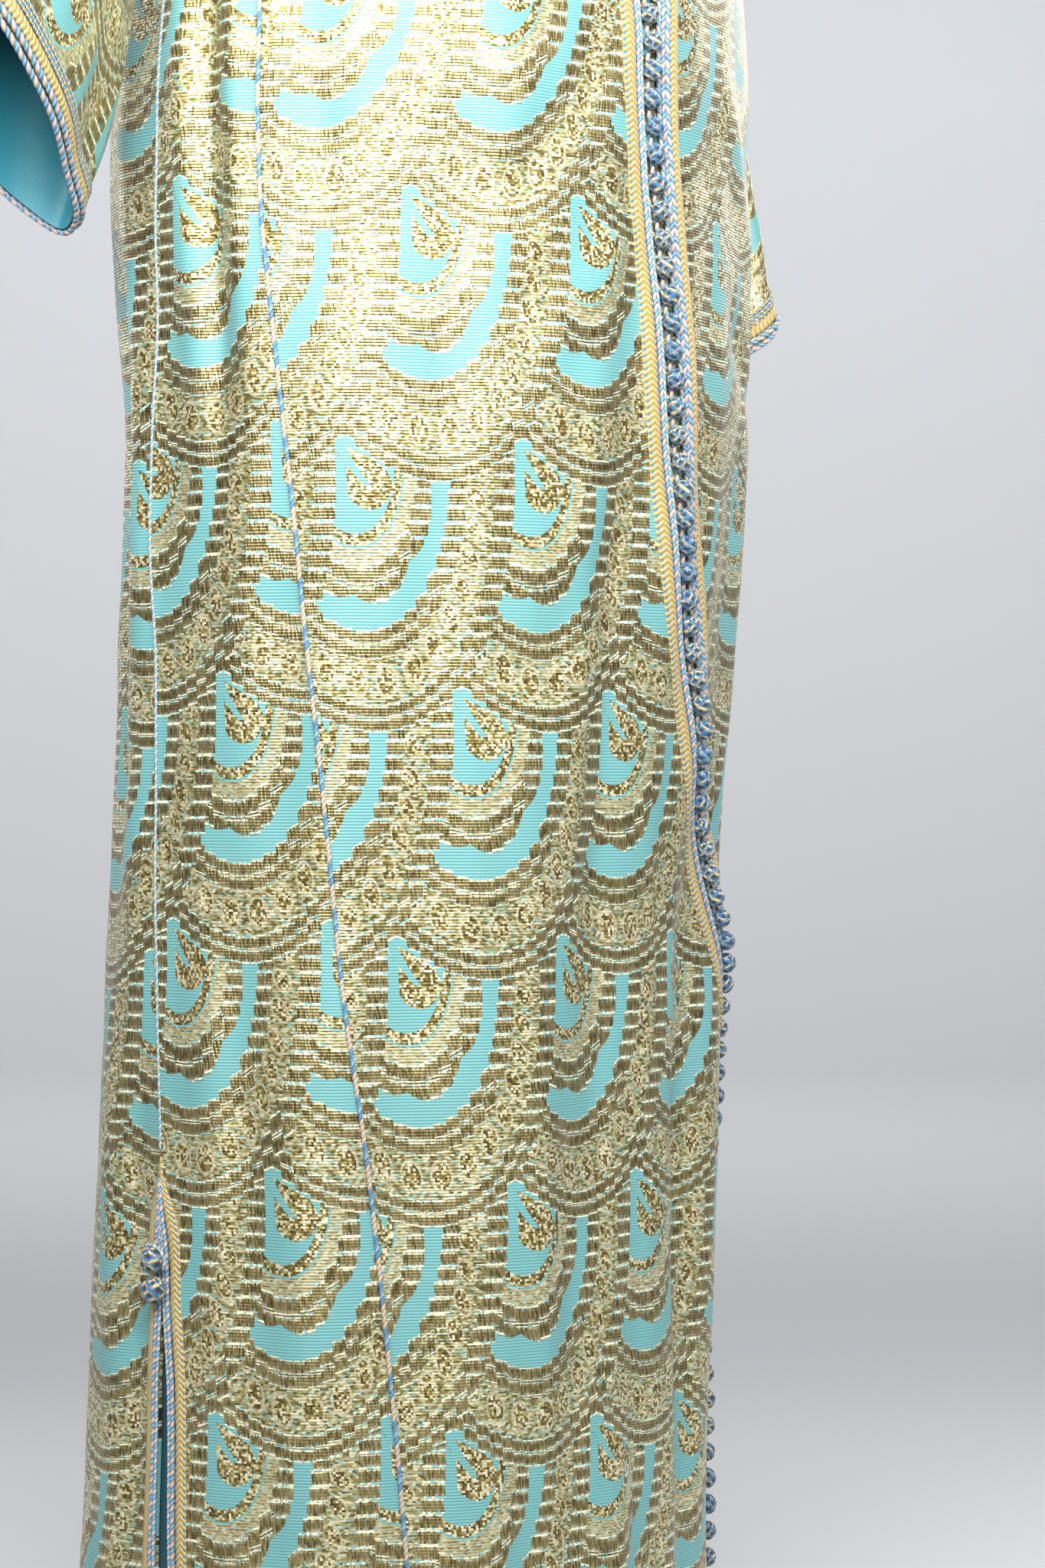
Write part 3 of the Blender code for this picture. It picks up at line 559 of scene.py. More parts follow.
def mix_colour(share, a, b):
    node = Value.tree.nodes.new("ShaderNodeMix")
    node.data_type = "RGBA"
    sockets = [s for s in node.inputs if s.type == "RGBA"]
    factor = [s for s in node.inputs if s.type == "VALUE"][0]
    if isinstance(share, Value):
        Value.tree.links.new(share.socket, factor)
    else:
        factor.default_value = share
    for slot, value in zip(sockets, (a, b)):
        if isinstance(value, tuple):
            slot.default_value = (*value, 1.0)
        else:
            Value.tree.links.new(value, slot)
    return [s for s in node.outputs if s.type == "RGBA"][0]


def start_material(name):
    material = bpy.data.materials.new(name)
    material.use_nodes = True
    Value.tree = material.node_tree
    shader = material.node_tree.nodes["Principled BSDF"]
    node = material.node_tree.nodes.new("ShaderNodeAttribute")
    node.attribute_name = "cloth"
    node.attribute_type = "GEOMETRY"
    separate = material.node_tree.nodes.new("ShaderNodeSeparateXYZ")
    material.node_tree.links.new(node.outputs["Vector"], separate.inputs[0])
    u, v, w = (Value(s) for s in separate.outputs)
    return material, shader, u, v, w, node.outputs["Vector"]


def bump(shader, height, distance, strength=1.0):
    node = Value.tree.nodes.new("ShaderNodeBump")
    node.inputs["Distance"].default_value = distance
    node.inputs["Strength"].default_value = strength
    Value.tree.links.new(height.socket, node.inputs["Height"])
    Value.tree.links.new(node.outputs[0], shader.inputs["Normal"])


# The brocade's repeat, metres: rows of overlapping fans, each a half ellipse hanging from its middle.
PITCH = 0.105
ROW = 0.1445
FAN_A = 0.099
FAN_B = 0.177
BRICK_WIDE = 0.0078
BRICK_TALL = 0.0092
TURQUOISE = (0.205, 0.455, 0.460)
TURQUOISE_DEEP = (0.100, 0.310, 0.325)
BRONZE = (0.130, 0.102, 0.035)
BRONZE_PALE = (0.500, 0.420, 0.200)
GOLD_PALE = (0.620, 0.570, 0.330)
GOLD_WHITE = (0.860, 0.790, 0.540)


def fan_at(x, y):
    """For a place in a fan, metres from its top middle: its brick's own ring number, and whether the bricks stack there."""
    sx, sy = x / FAN_A, y / FAN_B
    size = sx * sx + sy * sy + 1e-6
    steep = (sx * sx) > (size * 0.47)
    xs = (op("FLOOR", x / BRICK_WIDE) + 0.5) * BRICK_WIDE
    ys = (op("FLOOR", y / BRICK_TALL) + 0.5) * BRICK_TALL
    xs, ys = mix(steep, xs * 0.62 + x * 0.38, x), mix(steep, y, ys * 0.85 + y * 0.15)
    sx, sy = xs / FAN_A, ys / FAN_B
    return sx * sx + sy * sy, sx, steep


def fan_ring(rho, side):
    """Rings are nearer together at a fan's sides than below it."""
    shift = one(ramp(rho, [(0, 0.5), (0.29, 0.85), (0.335, 0.8), (0.43, 0.65), (0.52, 0.835), (0.61, 0.775), (0.71, 0.775), (0.87, 0.70), (1.0, 0.5)]))
    return rho + (shift - 0.5) * 0.2 * side


def brocade_material():
    material, shader, u, v, _, place = start_material("brocade_cloth")
    across, down = u / PITCH, v / ROW
    row = op("FLOOR", down)
    fy = down - row
    parity = row - op("FLOOR", row * 0.5) * 2.0
    half = parity * 0.5
    column = op("FLOOR", across - half)
    part = across - half - column
    xb, yb = part * PITCH, fy * ROW
    xa = (op("FRACT", across + half) - 0.5) * PITCH
    ya = yb + ROW
    size_a, _, _ = fan_at(xa, ya)
    size_b, _, _ = fan_at(xb, yb)
    in_a, in_b = size_a < 1.0, size_b < 1.0
    x = mix(in_a, xb - (1.0 - in_b) * PITCH, xa)
    y = mix(in_a, yb, ya)
    sx, sy = x / FAN_A, y / FAN_B
    rho = op("SQRT", sx * sx + sy * sy + 1e-6)
    turn = op("ARCTAN2", sx, sy)
    side = op("POWER", op("ABSOLUTE", sx / rho), 2.0)
    ring = fan_ring(rho, side)
    size_q, sx_q, steep = fan_at(x, y)
    rho_q = op("SQRT", size_q + 1e-6)
    ring_q = fan_ring(rho_q, op("POWER", op("ABSOLUTE", sx_q / rho_q), 2.0))

    # which band: bricks, plain gold within the first bricks, dotted
    bands = ramp(ring_q, [
        (0.0, (0, 1, 0)), (0.46, (1, 0, 0)), (0.587, (0, 0, 0)), (0.665, (1, 0, 0)),
        (0.765, (0, 0, 1)), (0.91, (1, 0, 0))], constant=True)
    is_brick, is_inner, is_dotted = split(bands)
    inner = ramp(ring, [(0.0, (1, 0, 0)), (0.355, (0, 1, 0)), (0.392, (0, 0, 0)), (0.402, (0, 0, 1))], constant=True)
    eye, thin_ring, is_plain = split(inner)
    eye, thin_ring, is_plain = eye * is_inner, thin_ring * is_inner, is_plain * is_inner
    lobes = op("ABSOLUTE", op("SINE", turn * 4.6 + 0.4))
    notch = (ring > (0.553 + lobes * 0.040)) * (ring_q < 0.60)
    is_brick = is_brick * (1.0 - notch)

    # the rows and courses of the bricks
    course = one(ramp(ring_q, [
        (0.46, 0), (0.5233, 1), (0.5235, 0), (0.5868, 1), (0.587, 0.5), (0.6648, 0.5), (0.665, 0), (0.7148, 1), (0.715, 0),
        (0.7648, 1), (0.765, 0.5), (0.9098, 0.5), (0.91, 0), (0.9548, 1), (0.955, 0), (1.0, 1)]))
    stack = op("FRACT", y / BRICK_TALL)
    phase = mix(steep, course, stack)
    from_edge = op("ABSOLUTE", phase - 0.5) * 2.0
    gap = from_edge > mix(steep, 0.76, 0.82)
    brick = is_brick * (1.0 - gap)
    brick_line = is_brick * gap

    # dotted band
    arc = turn * 0.1155 - op("SINE", turn * 2.0) * 0.01575
    dot_x = (op("FRACT", arc / 0.0182) - 0.5) * 3.3
    dot_y = (ring - 0.8375 + side * 0.022) * 22.0
    dot_size = dot_x * dot_x + dot_y * dot_y
    dot = is_dotted * (dot_size < 1.0)
    dot_ring = is_dotted * (dot_size < 1.6) * (1.0 - dot)

    # the eye: a comma-shaped drop that curls round a wedge of the ground
    bulb_x, bulb_y = x - 0.0105, y - 0.0345
    lean = (y - 0.007) / 0.0275
    mid = one(ramp(y / 0.06, [(0.0, 0.34), (0.13, 0.40), (0.25, 0.50), (0.40, 0.60), (0.58, 0.62), (0.70, 0.60), (0.82, 0.60)]))
    wide = one(ramp(y / 0.06, [(0.0, 0.0), (0.11, 0.0), (0.16, 0.08), (0.28, 0.26), (0.42, 0.42), (0.56, 0.50), (0.66, 0.47), (0.74, 0.37), (0.79, 0.22), (0.82, 0.0)]))
    off = op("ABSOLUTE", x - (mid - 0.5) * 0.1)
    drop_full = eye * (off < (wide * 0.026)) * (wide > 0.01)
    bend = op("ABSOLUTE", x - 0.0035 - (y - 0.0255) * 0.62 - op("POWER", op("ABSOLUTE", y - 0.0255), 2.0) * 8.0)
    wedge = (bend < (0.0021 + (0.0345 - y) * 0.055)) * (y < 0.0350)
    drop = drop_full * (1.0 - wedge)

    # threads and glitter: numbers for small cells of the weave
    fleck = cell_random(vector(op("FLOOR", u / 0.0023 + op("FLOOR", v / 0.0011) * 0.37), op("FLOOR", v / 0.0011)))
    grit = cell_random(vector(op("FLOOR", u / 0.0015), op("FLOOR", v / 0.0014), 3.0))
    streak_cell = cell_random(vector(op("FLOOR", u / 0.0009), op("FLOOR", (y + x * 0.3) / 0.004), 7.0))
    streak = noise(vector(u * 820.0, v * 120.0), 1.0, 2.0)
    ribs = op("SINE", v * (2 * math.pi / 0.0018)) * 0.5 + 0.5
    broad = noise(place, 9.0, 2.0)
    brick_tone = cell_random(vector(op("FLOOR", x / BRICK_WIDE), op("FLOOR", y / BRICK_TALL), row + column * 7.0))

    ground = mix_colour(ribs, TURQUOISE_DEEP, TURQUOISE)
    plain = ramp(fleck, [(0.0, (0.100, 0.080, 0.020)), (0.18, (0.215, 0.180, 0.058)), (0.38, (0.370, 0.325, 0.135)), (0.62, (0.520, 0.475, 0.250)), (0.84, (0.860, 0.820, 0.590)), (0.91, (0.300, 0.500, 0.430))])
    speckled = ramp(grit, [(0.0, (0.070, 0.050, 0.012)), (0.30, (0.200, 0.150, 0.040)), (0.52, (0.360, 0.290, 0.095)), (0.75, (0.720, 0.640, 0.360)), (1.0, (0.950, 0.900, 0.700))])
    ribbed = mix_colour(ribs * 0.70, plain, (0.720, 0.665, 0.420))
    satin = mix_colour(op("MULTIPLY_ADD", streak, 3.4, -1.35, clamp=True), BRONZE, BRONZE_PALE)
    satin = mix_colour(op("MULTIPLY_ADD", brick_tone, 0.9, -0.45, clamp=True), satin, BRONZE_PALE)
    # painted highlight: the bricks' edges, where their floats turn, are lightened towards pale gold on random threads
    painted_edge_highlight = op("MULTIPLY_ADD", from_edge, 2.4, -0.75, clamp=True) * (streak_cell > 0.50)
    satin = mix_colour(painted_edge_highlight * 0.75, satin, GOLD_WHITE)
    lines = mix_colour((grit > 0.42) * 0.9, TURQUOISE, GOLD_WHITE)

    colour = mix_colour(is_plain, ground, ribbed)
    colour = mix_colour(thin_ring, colour, speckled)
    colour = mix_colour(is_dotted, colour, plain)
    colour = mix_colour(dot_ring * 0.45, colour, GOLD_WHITE)
    colour = mix_colour(dot, colour, speckled)
    colour = mix_colour(brick, colour, satin)
    colour = mix_colour(brick_line, colour, lines)
    colour = mix_colour(drop, colour, speckled)
    Value.tree.links.new(colour, shader.inputs["Base Color"])

    gold_mask = op("MAXIMUM", op("MAXIMUM", is_plain, thin_ring), op("MAXIMUM", is_dotted, drop), clamp=True)
    metal = 0.05 + gold_mask * 0.55 + brick * 0.85
    Value.tree.links.new(metal.socket, shader.inputs["Metallic"])
    rough = 0.46 - brick * 0.07 - gold_mask * 0.06 + (grit - 0.5) * 0.16 * gold_mask + (broad - 0.5) * 0.10
    Value.tree.links.new(rough.socket, shader.inputs["Roughness"])
    shader.inputs["Sheen Weight"].default_value = 0.10
    shader.inputs["Sheen Roughness"].default_value = 0.4
    height = brick * (1.2 - op("POWER", from_edge, 4.0) * 0.6 + streak * 0.9) + (is_dotted + is_plain) * (0.45 + fleck * 0.45) + (drop + dot * 0.6 + thin_ring) * (0.5 + grit * 0.5) + ribs * 0.18
    bump(shader, height, 0.0009, 0.85)
    return material


def lining_material(name, deep, light):
    material, shader, u, v, _, place = start_material(name)
    grain = noise(vector(u * 900.0, v * 900.0), 1.0, 2.0)
    colour = mix_colour(grain, deep, light)
    Value.tree.links.new(colour, shader.inputs["Base Color"])
    shader.inputs["Roughness"].default_value = 0.42
    shader.inputs["Sheen Weight"].default_value = 0.2
    bump(shader, op("SINE", v * 9000.0) * 0.3 + grain, 0.0002, 0.5)
    return material


def braid_material():
    """Flat braid: u is the share across, v metres along. A gold plait with small blue stitches along its edges."""
    material, shader, u, v, _, place = start_material("braid_silk")
    off = op("ABSOLUTE", u - 0.5) * 2.0
    plait = op("FRACT", v / 0.0038 + off * 0.9)
    strand = op("ABSOLUTE", plait - 0.5) * 2.0
    grain = noise(vector(u * 40.0, v * 2500.0), 1.0, 1.0)
    # painted shade: each strand of the plait darkens towards its edges, where it dips under its neighbours
    gold = mix_colour(op("MULTIPLY_ADD", strand, 1.2, -0.25, clamp=True), (0.600, 0.445, 0.150), (0.270, 0.165, 0.038))
    gold = mix_colour(op("MULTIPLY_ADD", grain, 1.2, -0.45, clamp=True), gold, (0.740, 0.600, 0.290))
    stitch = (op("FRACT", v / 0.0038 + off * 0.9 + 0.3) < 0.50) * (off > 0.60) * (off < 0.95)
    gold = mix_colour(stitch * 0.92, gold, (0.050, 0.190, 0.380))
    Value.tree.links.new(gold, shader.inputs["Base Color"])
    shader.inputs["Roughness"].default_value = 0.48
    shader.inputs["Metallic"].default_value = 0.10
    shader.inputs["Sheen Weight"].default_value = 0.2
    bump(shader, (1.0 - strand) + grain * 0.3 + stitch * 0.5, 0.0006, 0.9)
    return material


def cord_material(name, first, second, third, colour_turns=1.0):
    """Twisted cord: u is the turn of the strands, v metres along. colour_turns is the colour changes for each turn."""
    material, shader, u, v, w, place = start_material(name)
    strand = op("FRACT", u * colour_turns)
    groove = op("ABSOLUTE", op("FRACT", u * 2.0) - 0.5) * 2.0
    grain = noise(vector(u * 30.0, v * 1300.0), 1.0, 2.0)
    fibre = op("FRACT", u * 6.0 + v * 90.0)
    colour = mix_colour(strand > 0.5, first, second)
    colour = mix_colour(op("ABSOLUTE", strand - 0.27) < 0.06, colour, third)
    colour = mix_colour((fibre > 0.7) * 0.20, colour, (0.45, 0.56, 0.70))
    # painted shade: the grooves between the strands are darkened towards deep blue
    colour = mix_colour(op("POWER", groove, 3.0) * 0.75, colour, (0.035, 0.075, 0.150))
    colour = mix_colour(op("MULTIPLY_ADD", grain, 0.8, -0.35, clamp=True), colour, (0.70, 0.66, 0.62))
    Value.tree.links.new(colour, shader.inputs["Base Color"])
    shader.inputs["Roughness"].default_value = 0.48
    shader.inputs["Sheen Weight"].default_value = 0.2
    bump(shader, (1.0 - groove) + grain * 0.4, 0.0004, 0.8)
    return material


def knot_material():
    """Knotted silk: u is the height of the strand over its neighbours, v which thread of it, w a turn round the knot."""
    material, shader, u, v, w, place = start_material("knot_silk")
    grain = noise(vector(u * 3.0, v * 40.0, w * 30.0), 1.0, 1.0)
    # painted shade: strands lying low under their neighbours are darkened to near black, the raised ones are blue
    colour = mix_colour(op("MULTIPLY_ADD", u, 2.6, -1.50, clamp=True), (0.002, 0.012, 0.030), (0.012, 0.125, 0.300))
    thread = op("FRACT", v) < 0.32
    colour = mix_colour(thread * op("MULTIPLY_ADD", u, 3.2, -1.9, clamp=True), colour, (0.640, 0.490, 0.190))
    pale = op("FRACT", v) > 0.88
    colour = mix_colour(pale * 0.15, colour, (0.20, 0.42, 0.56))
    colour = mix_colour(grain * 0.08, colour, (0.20, 0.40, 0.60))
    Value.tree.links.new(colour, shader.inputs["Base Color"])
    shader.inputs["Roughness"].default_value = 0.45
    shader.inputs["Sheen Weight"].default_value = 0.15
    bump(shader, u + grain * 0.3, 0.0006, 0.9)
    return material


BROCADE = brocade_material()
# painted shade: this lining is a darker copy of the cuff lining's teal, for the lining seen in shadow inside the slits,
# the front opening and on the pieces' inner faces
LINING_PAINTED_SHADE = lining_material("lining_cloth_painted_shade", (0.003, 0.042, 0.070), (0.006, 0.075, 0.110))
CUFF_LINING = lining_material("cuff_lining_cloth", (0.010, 0.140, 0.200), (0.020, 0.230, 0.300))
BRAID = braid_material()
CORD = cord_material("cord_silk", (0.028, 0.185, 0.370), (0.560, 0.420, 0.350), (0.240, 0.450, 0.560))
PIPING = cord_material("piping_silk", (0.028, 0.190, 0.380), (0.600, 0.450, 0.300), (0.170, 0.400, 0.540), colour_turns=0.25)
THIN = cord_material("thin_cord_silk", (0.090, 0.300, 0.450), (0.580, 0.520, 0.470), (0.260, 0.480, 0.590))
STITCHES = cord_material("stitch_silk", (0.030, 0.190, 0.380), (0.680, 0.490, 0.180), (0.280, 0.470, 0.580))
KNOT = knot_material()

FINE = 1.0


# ------------------------------------------------------------------ body panels
def body_grid(edge0, edge1, columns, side=0, name="", top=UNDERARM_Z):
    """Points and ways out of a panel, hem to top, with the base surface's creases."""
    lower = np.linspace(HEM_Z, top, int(146 * FINE) + 2)
    share = np.linspace(0, 1, columns)
    t0, t1 = edge0(lower), edge1(lower)
    t = t0[:, None] + (t1 - t0)[:, None] * share[None, :]
    points, normals = body_base(t, lower[:, None])
    if side:
        base = points[-1]
        x0, x1 = base[0, 0], base[-1, 0]
        across = (base[:, 0] - x0) / (x1 - x0)
        for s in np.linspace(1, 0, int(40 * FINE) + 2)[1:] ** 1.5:
            z_gap = -0.006 - FRONT_NECK_DROP + (UNDERARM_Z + 0.006 + FRONT_NECK_DROP) * s
            gap = SEAM / 2 + float(straight(FRONT_GAP, z_gap))
            if name == "front_right":
                left, right = -ARMHOLE_X, -gap
            elif name == "front_left":
                left, right = gap, ARMHOLE_X
            else:
                left, right = (-ARMHOLE_X, ARMHOLE_X) if x0 < x1 else (ARMHOLE_X, -ARMHOLE_X)
            x = left + (right - left) * across
            z = top_z(x, side)
            z = z + (UNDERARM_Z - z) * s
            p, n = upper_base(x, z, side)
            points = np.concatenate([points, p[None]])
            normals = np.concatenate([normals, n[None]])
    return points, normals


def make_panel(name, edge0, edge1, columns, side=0, top=UNDERARM_Z, zero=0.0, offset=(0.0, 0.0)):
    """zero is the share of the width at which the pattern's straight grain runs."""
    base, out = body_grid(edge0, edge1, columns, side, name, top)
    outer = dressed(base, out)
    across = lengths_along(base, 1)
    at = across[:, :1] * 0
    k = int(round(zero * (columns - 1)))
    at = across[:, k:k + 1]
    u = across - at + offset[0]
    v = -lengths_along(base[:, k:k + 1], 0)
    v = np.repeat(v, columns, axis=1) + offset[1]
    cloth = np.stack([u, v, np.zeros_like(u)], -1)
    obj = shell(name + "_cloth", outer, out, cloth, WALL, [BROCADE, LINING_PAINTED_SHADE])
    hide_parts(name)
    declare(obj, outer)
    return obj


make_panel("front_right", plain_edge(2, 1), lambda z: opening_edge(z, -1), int(64 * FINE), side=-1, zero=0.0, offset=(0.018, 0.030))
make_panel("front_left", lambda z: opening_edge(z, 1), plain_edge(4, -1), int(60 * FINE), side=-1, zero=1.0, offset=(-0.018, 0.030))
make_panel("front_gore_right", slit_edge(3, 1), plain_edge(2, -1), int(30 * FINE), top=UNDERARM_Z - 0.003, zero=1.0, offset=(0.055, 0.04))
make_panel("front_gore_left", plain_edge(4, 1), slit_edge(5, -1), int(24 * FINE), top=UNDERARM_Z - 0.003, zero=0.0, offset=(-0.055, 0.04))
make_panel("back", slit_edge(5, 1), lambda z: slit_edge(3, -1)(z) + 360.0, int(130 * FINE), side=1, zero=0.5, offset=(0.0, 0.02))


# ------------------------------------------------------------------ sleeves
def armhole_ring(sign):
    top, bottom = float(shoulder_z(ARMHOLE_X)), UNDERARM_Z
    a = 2 * np.pi * np.arange(SLEEVE_COLUMNS) / SLEEVE_COLUMNS
    z = (top + bottom) / 2 + (top - bottom) / 2 * np.cos(a)
    side = np.where(np.sin(a) > 0, -1, 1)
    y = side * depth_at(ARMHOLE_X, z, side)
    return np.stack([np.full(len(a), sign * (ARMHOLE_X + SEAM)), y, z], -1)


def sleeve_ring(table, share, lean):
    over = np.array([smooth(table, c, share) for c in (1, 2, 3)])
    under = np.array([smooth(table, c, share) for c in (4, 5, 6)])
    half = float(smooth(table, 7, share))
    a = (2 * np.pi * np.arange(SLEEVE_COLUMNS) / SLEEVE_COLUMNS)[:, None]
    full = half * np.sin(a) * (1 + lean * np.cos(a))
    return (over + under) / 2 + (over - under) / 2 * np.cos(a) + np.array([0.0, -1.0, 0.0]) * full


SLEEVE_CREASES = {  # share_from, angle_from, share_to, angle_to, depth, half_width; 0 is the top and 90 the front
    "right": [
        (0.06, 60, 0.34, 95, 0.0040, 0.010), (0.08, 110, 0.30, 130, -0.0040, 0.010), (0.30, 40, 0.52, 120, -0.0036, 0.010),
        (0.40, 30, 0.64, 110, 0.0036, 0.010), (0.58, 60, 0.90, 100, 0.0040, 0.012), (0.62, 110, 0.98, 140, -0.0034, 0.012),
        (0.10, -60, 0.36, -100, 0.0038, 0.010), (0.34, -40, 0.56, -120, -0.0036, 0.010), (0.55, -60, 0.95, -95, 0.0036, 0.012),
        (0.50, 150, 0.96, 165, 0.0030, 0.009),
    ],
    "left": [
        (0.06, 60, 0.34, 100, 0.0040, 0.010), (0.30, 40, 0.50, 120, -0.0034, 0.010), (0.42, 20, 0.62, 110, 0.0036, 0.010),
        (0.60, 50, 0.96, 90, 0.0040, 0.012), (0.64, 100, 0.98, 130, -0.0036, 0.011), (0.10, -60, 0.40, -100, 0.0036, 0.010),
        (0.38, -30, 0.58, -110, -0.0036, 0.010), (0.60, -50, 0.96, -90, 0.0036, 0.012), (0.30, 0, 0.60, 8, 0.0026, 0.010),
    ],
}


def sleeve_base(side):
    sign = -1 if side == "right" else 1
    table = SLEEVES[side]
    keys = [0.0, 0.12, 0.30, 0.52, 0.72, 0.86, 1.0]
    rings = [armhole_ring(sign)] + [sleeve_ring(table, s, LEAN[side]) for s in keys[1:]]
    runs = np.linspace(0, 1, int(76 * FINE) + 2)
    key_rings = np.array(rings)
    slopes = np.gradient(key_rings, keys, axis=0)
    grid = []
    for s in runs:
        i = int(np.clip(np.searchsorted(keys, s) - 1, 0, len(keys) - 2))
        step = keys[i + 1] - keys[i]
        w = (s - keys[i]) / step
        grid.append(
            key_rings[i] * (1 + 2 * w) * (1 - w) ** 2 + slopes[i] * step * w * (1 - w) ** 2
            + key_rings[i + 1] * w * w * (3 - 2 * w) + slopes[i + 1] * step * w * w * (w - 1)
        )
    grid = np.array(grid)
    like = grid - grid.mean(axis=1, keepdims=True)
    normals = normals_of(grid, like, wrap=True)
    normals[0, :, 0] = 0
    normals[0] /= np.linalg.norm(normals[0], axis=-1, keepdims=True)
    rows = []
    for s0, a0, s1, a1, depth, width in SLEEVE_CREASES[side]:
        run = np.linspace(0, 1, 10)
        i = np.clip((s0 + (s1 - s0) * run) * (len(grid) - 1), 0, len(grid) - 1).round().astype(int)
        j = ((a0 + (a1 - a0) * run) / 360 * SLEEVE_COLUMNS).round().astype(int) % SLEEVE_COLUMNS
        rows.append((grid[i, j], depth, width))
    move = crease_depth(grid, rows)
    around = 2 * np.pi * np.arange(SLEEVE_COLUMNS) / SLEEVE_COLUMNS
    move += 0.0008 * np.sin(5 * around[None, :] + 6 * runs[:, None]) + 0.0006 * np.sin(9 * around[None, :] + 1 + 9 * runs[:, None])
    move *= ease(runs / 0.08)[:, None]
    return grid + normals * move[..., None], normals, runs


def closed_columns(grid):
    return np.concatenate([grid, grid[:, :1]], axis=1)


def make_sleeve(side):
    outer, normals, runs = sleeve_base(side)
    across = lengths_along(closed_columns(outer), 1)[:, :-1]
    top = outer.shape[1] // 4
    u = across - across[:, top:top + 1]
    v = lengths_along(outer[:, top:top + 1], 0)
    cloth = np.stack([u, np.repeat(v, outer.shape[1], axis=1), np.zeros_like(u)], -1)
    name = "sleeve_" + side
    obj = shell(name + "_cloth", outer, normals, cloth, WALL, [BROCADE, LINING_PAINTED_SHADE], wrap=True)
    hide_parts(name)
    declare(obj, closed_columns(outer))

    edge = lengths_along(outer, 0).mean(axis=1)
    total = edge[-1]

    def ring_at(distance, out):
        """A ring a distance up from the cuff's edge, moved out of the sleeve."""
        k = np.interp(total - distance, edge, np.arange(len(edge)))
        i = min(int(k), len(edge) - 2)
        w = k - i
        n = normals[i] * (1 - w) + normals[i + 1] * w
        return outer[i] * (1 - w) + outer[i + 1] * w + n * out, n

    def band(piece, distances, out, thickness, material, node=None):
        rows = [ring_at(d, out + rise) for d, rise in distances]
        grid = np.array([r for r, _ in rows])
        ways = np.array([w for _, w in rows])
        length = lengths_along(closed_columns(grid), 1)[:, :-1]
        share = np.linspace(0, 1, len(distances))[:, None] * np.ones_like(length)
        made = shell(piece, grid, ways, np.stack([share, length, np.zeros_like(length)], -1), thickness, [material], wrap=True)
        if node:
            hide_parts(node)
        return made, grid

    # the cuff's braid: a plaited gold strip, with a twisted cord on each side of it and one on the edge itself
    profile = [(0.0158, 0.0006), (0.0150, 0.0014), (0.0138, 0.0018), (0.0118, 0.0019), (0.0098, 0.0018), (0.0086, 0.0014), (0.0078, 0.0006)]
    strip, grid = band("cuff_braid_%s_plait" % side, profile, 0.0002, 0.0008, BRAID, "cuff_braid_" + side)
    for number, (distance, radius, out, pitch, material) in enumerate((
            (0.0002, 0.0019, -0.0004, 0.0095, CORD), (0.0046, 0.0019, 0.0019, 0.0095, CORD),
            (0.0176, 0.0010, 0.0010, 0.0040, STITCHES), (0.0200, 0.0010, 0.0010, 0.0046, STITCHES), (0.0226, 0.0010, 0.0010, 0.0040, STITCHES))):
        ring, n = ring_at(distance, out)
        loop_cord("cuff_cord_%s_%d" % (side, number + 1), ring, n, radius, pitch, material)

    # lining
    inside = -(WALL + 0.0010)
    rows = [ring_at(d, inside) for d in np.linspace(0.120, 0.0015, 24)]
    grid = np.array([r for r, _ in rows])
    ways = np.array([w for _, w in rows])
    length = lengths_along(closed_columns(grid), 1)[:, :-1]
    cloth = np.stack([length, np.linspace(0, 0.12, 24)[:, None] * np.ones_like(length), np.zeros_like(length)], -1)
    made = shell("sleeve_lining_%s_cloth" % side, grid, ways, cloth, 0.0010, [CUFF_LINING], wrap=True)
    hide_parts("sleeve_lining_" + side)
    declare(made, closed_columns(grid))


# ------------------------------------------------------------------ cords
def resample(path, extra, step):
    path = np.asarray(path)
    gone = np.concatenate([[0], np.cumsum(np.linalg.norm(np.diff(path, axis=0), axis=1))])
    count = max(int(gone[-1] / step), 2)
    at = np.linspace(0, gone[-1], count + 1)
    return (
        np.stack([np.interp(at, gone, path[:, c]) for c in range(3)], -1),
        np.stack([np.interp(at, gone, extra[:, c]) for c in range(3)], -1),
        at,
    )


def twisted(path, ways, radius, pitch, sides=9, closed=False, step=0.0014, hand=1):
    """Points, quads and cloth values of a two-strand twisted cord along a path."""
    centre, way, at = resample(path, ways, step)
    if closed:
        pitch = at[-1] / max(round(at[-1] / pitch), 1)
        centre, way, at = centre[:-1], way[:-1], at[:-1]
        along = np.roll(centre, -1, 0) - np.roll(centre, 1, 0)
    else:
        along = np.gradient(centre, axis=0)
    along /= np.linalg.norm(along, axis=1, keepdims=True)
    way = way - along * (way * along).sum(1, keepdims=True)
    way /= np.linalg.norm(way, axis=1, keepdims=True)
    other = np.cross(along, way)
    angle = 2 * np.pi * (np.arange(sides) + 0.5) / sides + np.pi
    phase = angle[None, :] / (2 * np.pi) - hand * at[:, None] / pitch
    size = radius * (0.70 + 0.30 * np.abs(np.cos(2 * np.pi * phase)))
    points = centre[:, None] + size[..., None] * (np.cos(angle)[None, :, None] * way[:, None] + np.sin(angle)[None, :, None] * other[:, None])
    n = len(centre)
    rows = n if closed else n - 1
    i, j = np.meshgrid(np.arange(rows), np.arange(sides), indexing="ij")
    a = i * sides + j
    b = i * sides + (j + 1) % sides
    c = ((i + 1) % n) * sides + (j + 1) % sides
    d = ((i + 1) % n) * sides + j
    faces = np.stack([a, b, c, d], -1).reshape(-1, 4).tolist()
    if not closed:
        faces.append(list(range(sides))[::-1])
        faces.append(list(range((n - 1) * sides, n * sides)))
    cloth = np.stack([phase + 0.25, np.repeat(at[:, None], sides, 1), np.zeros_like(phase)], -1)
    return points.reshape(-1, 3), faces, cloth.reshape(-1, 3)


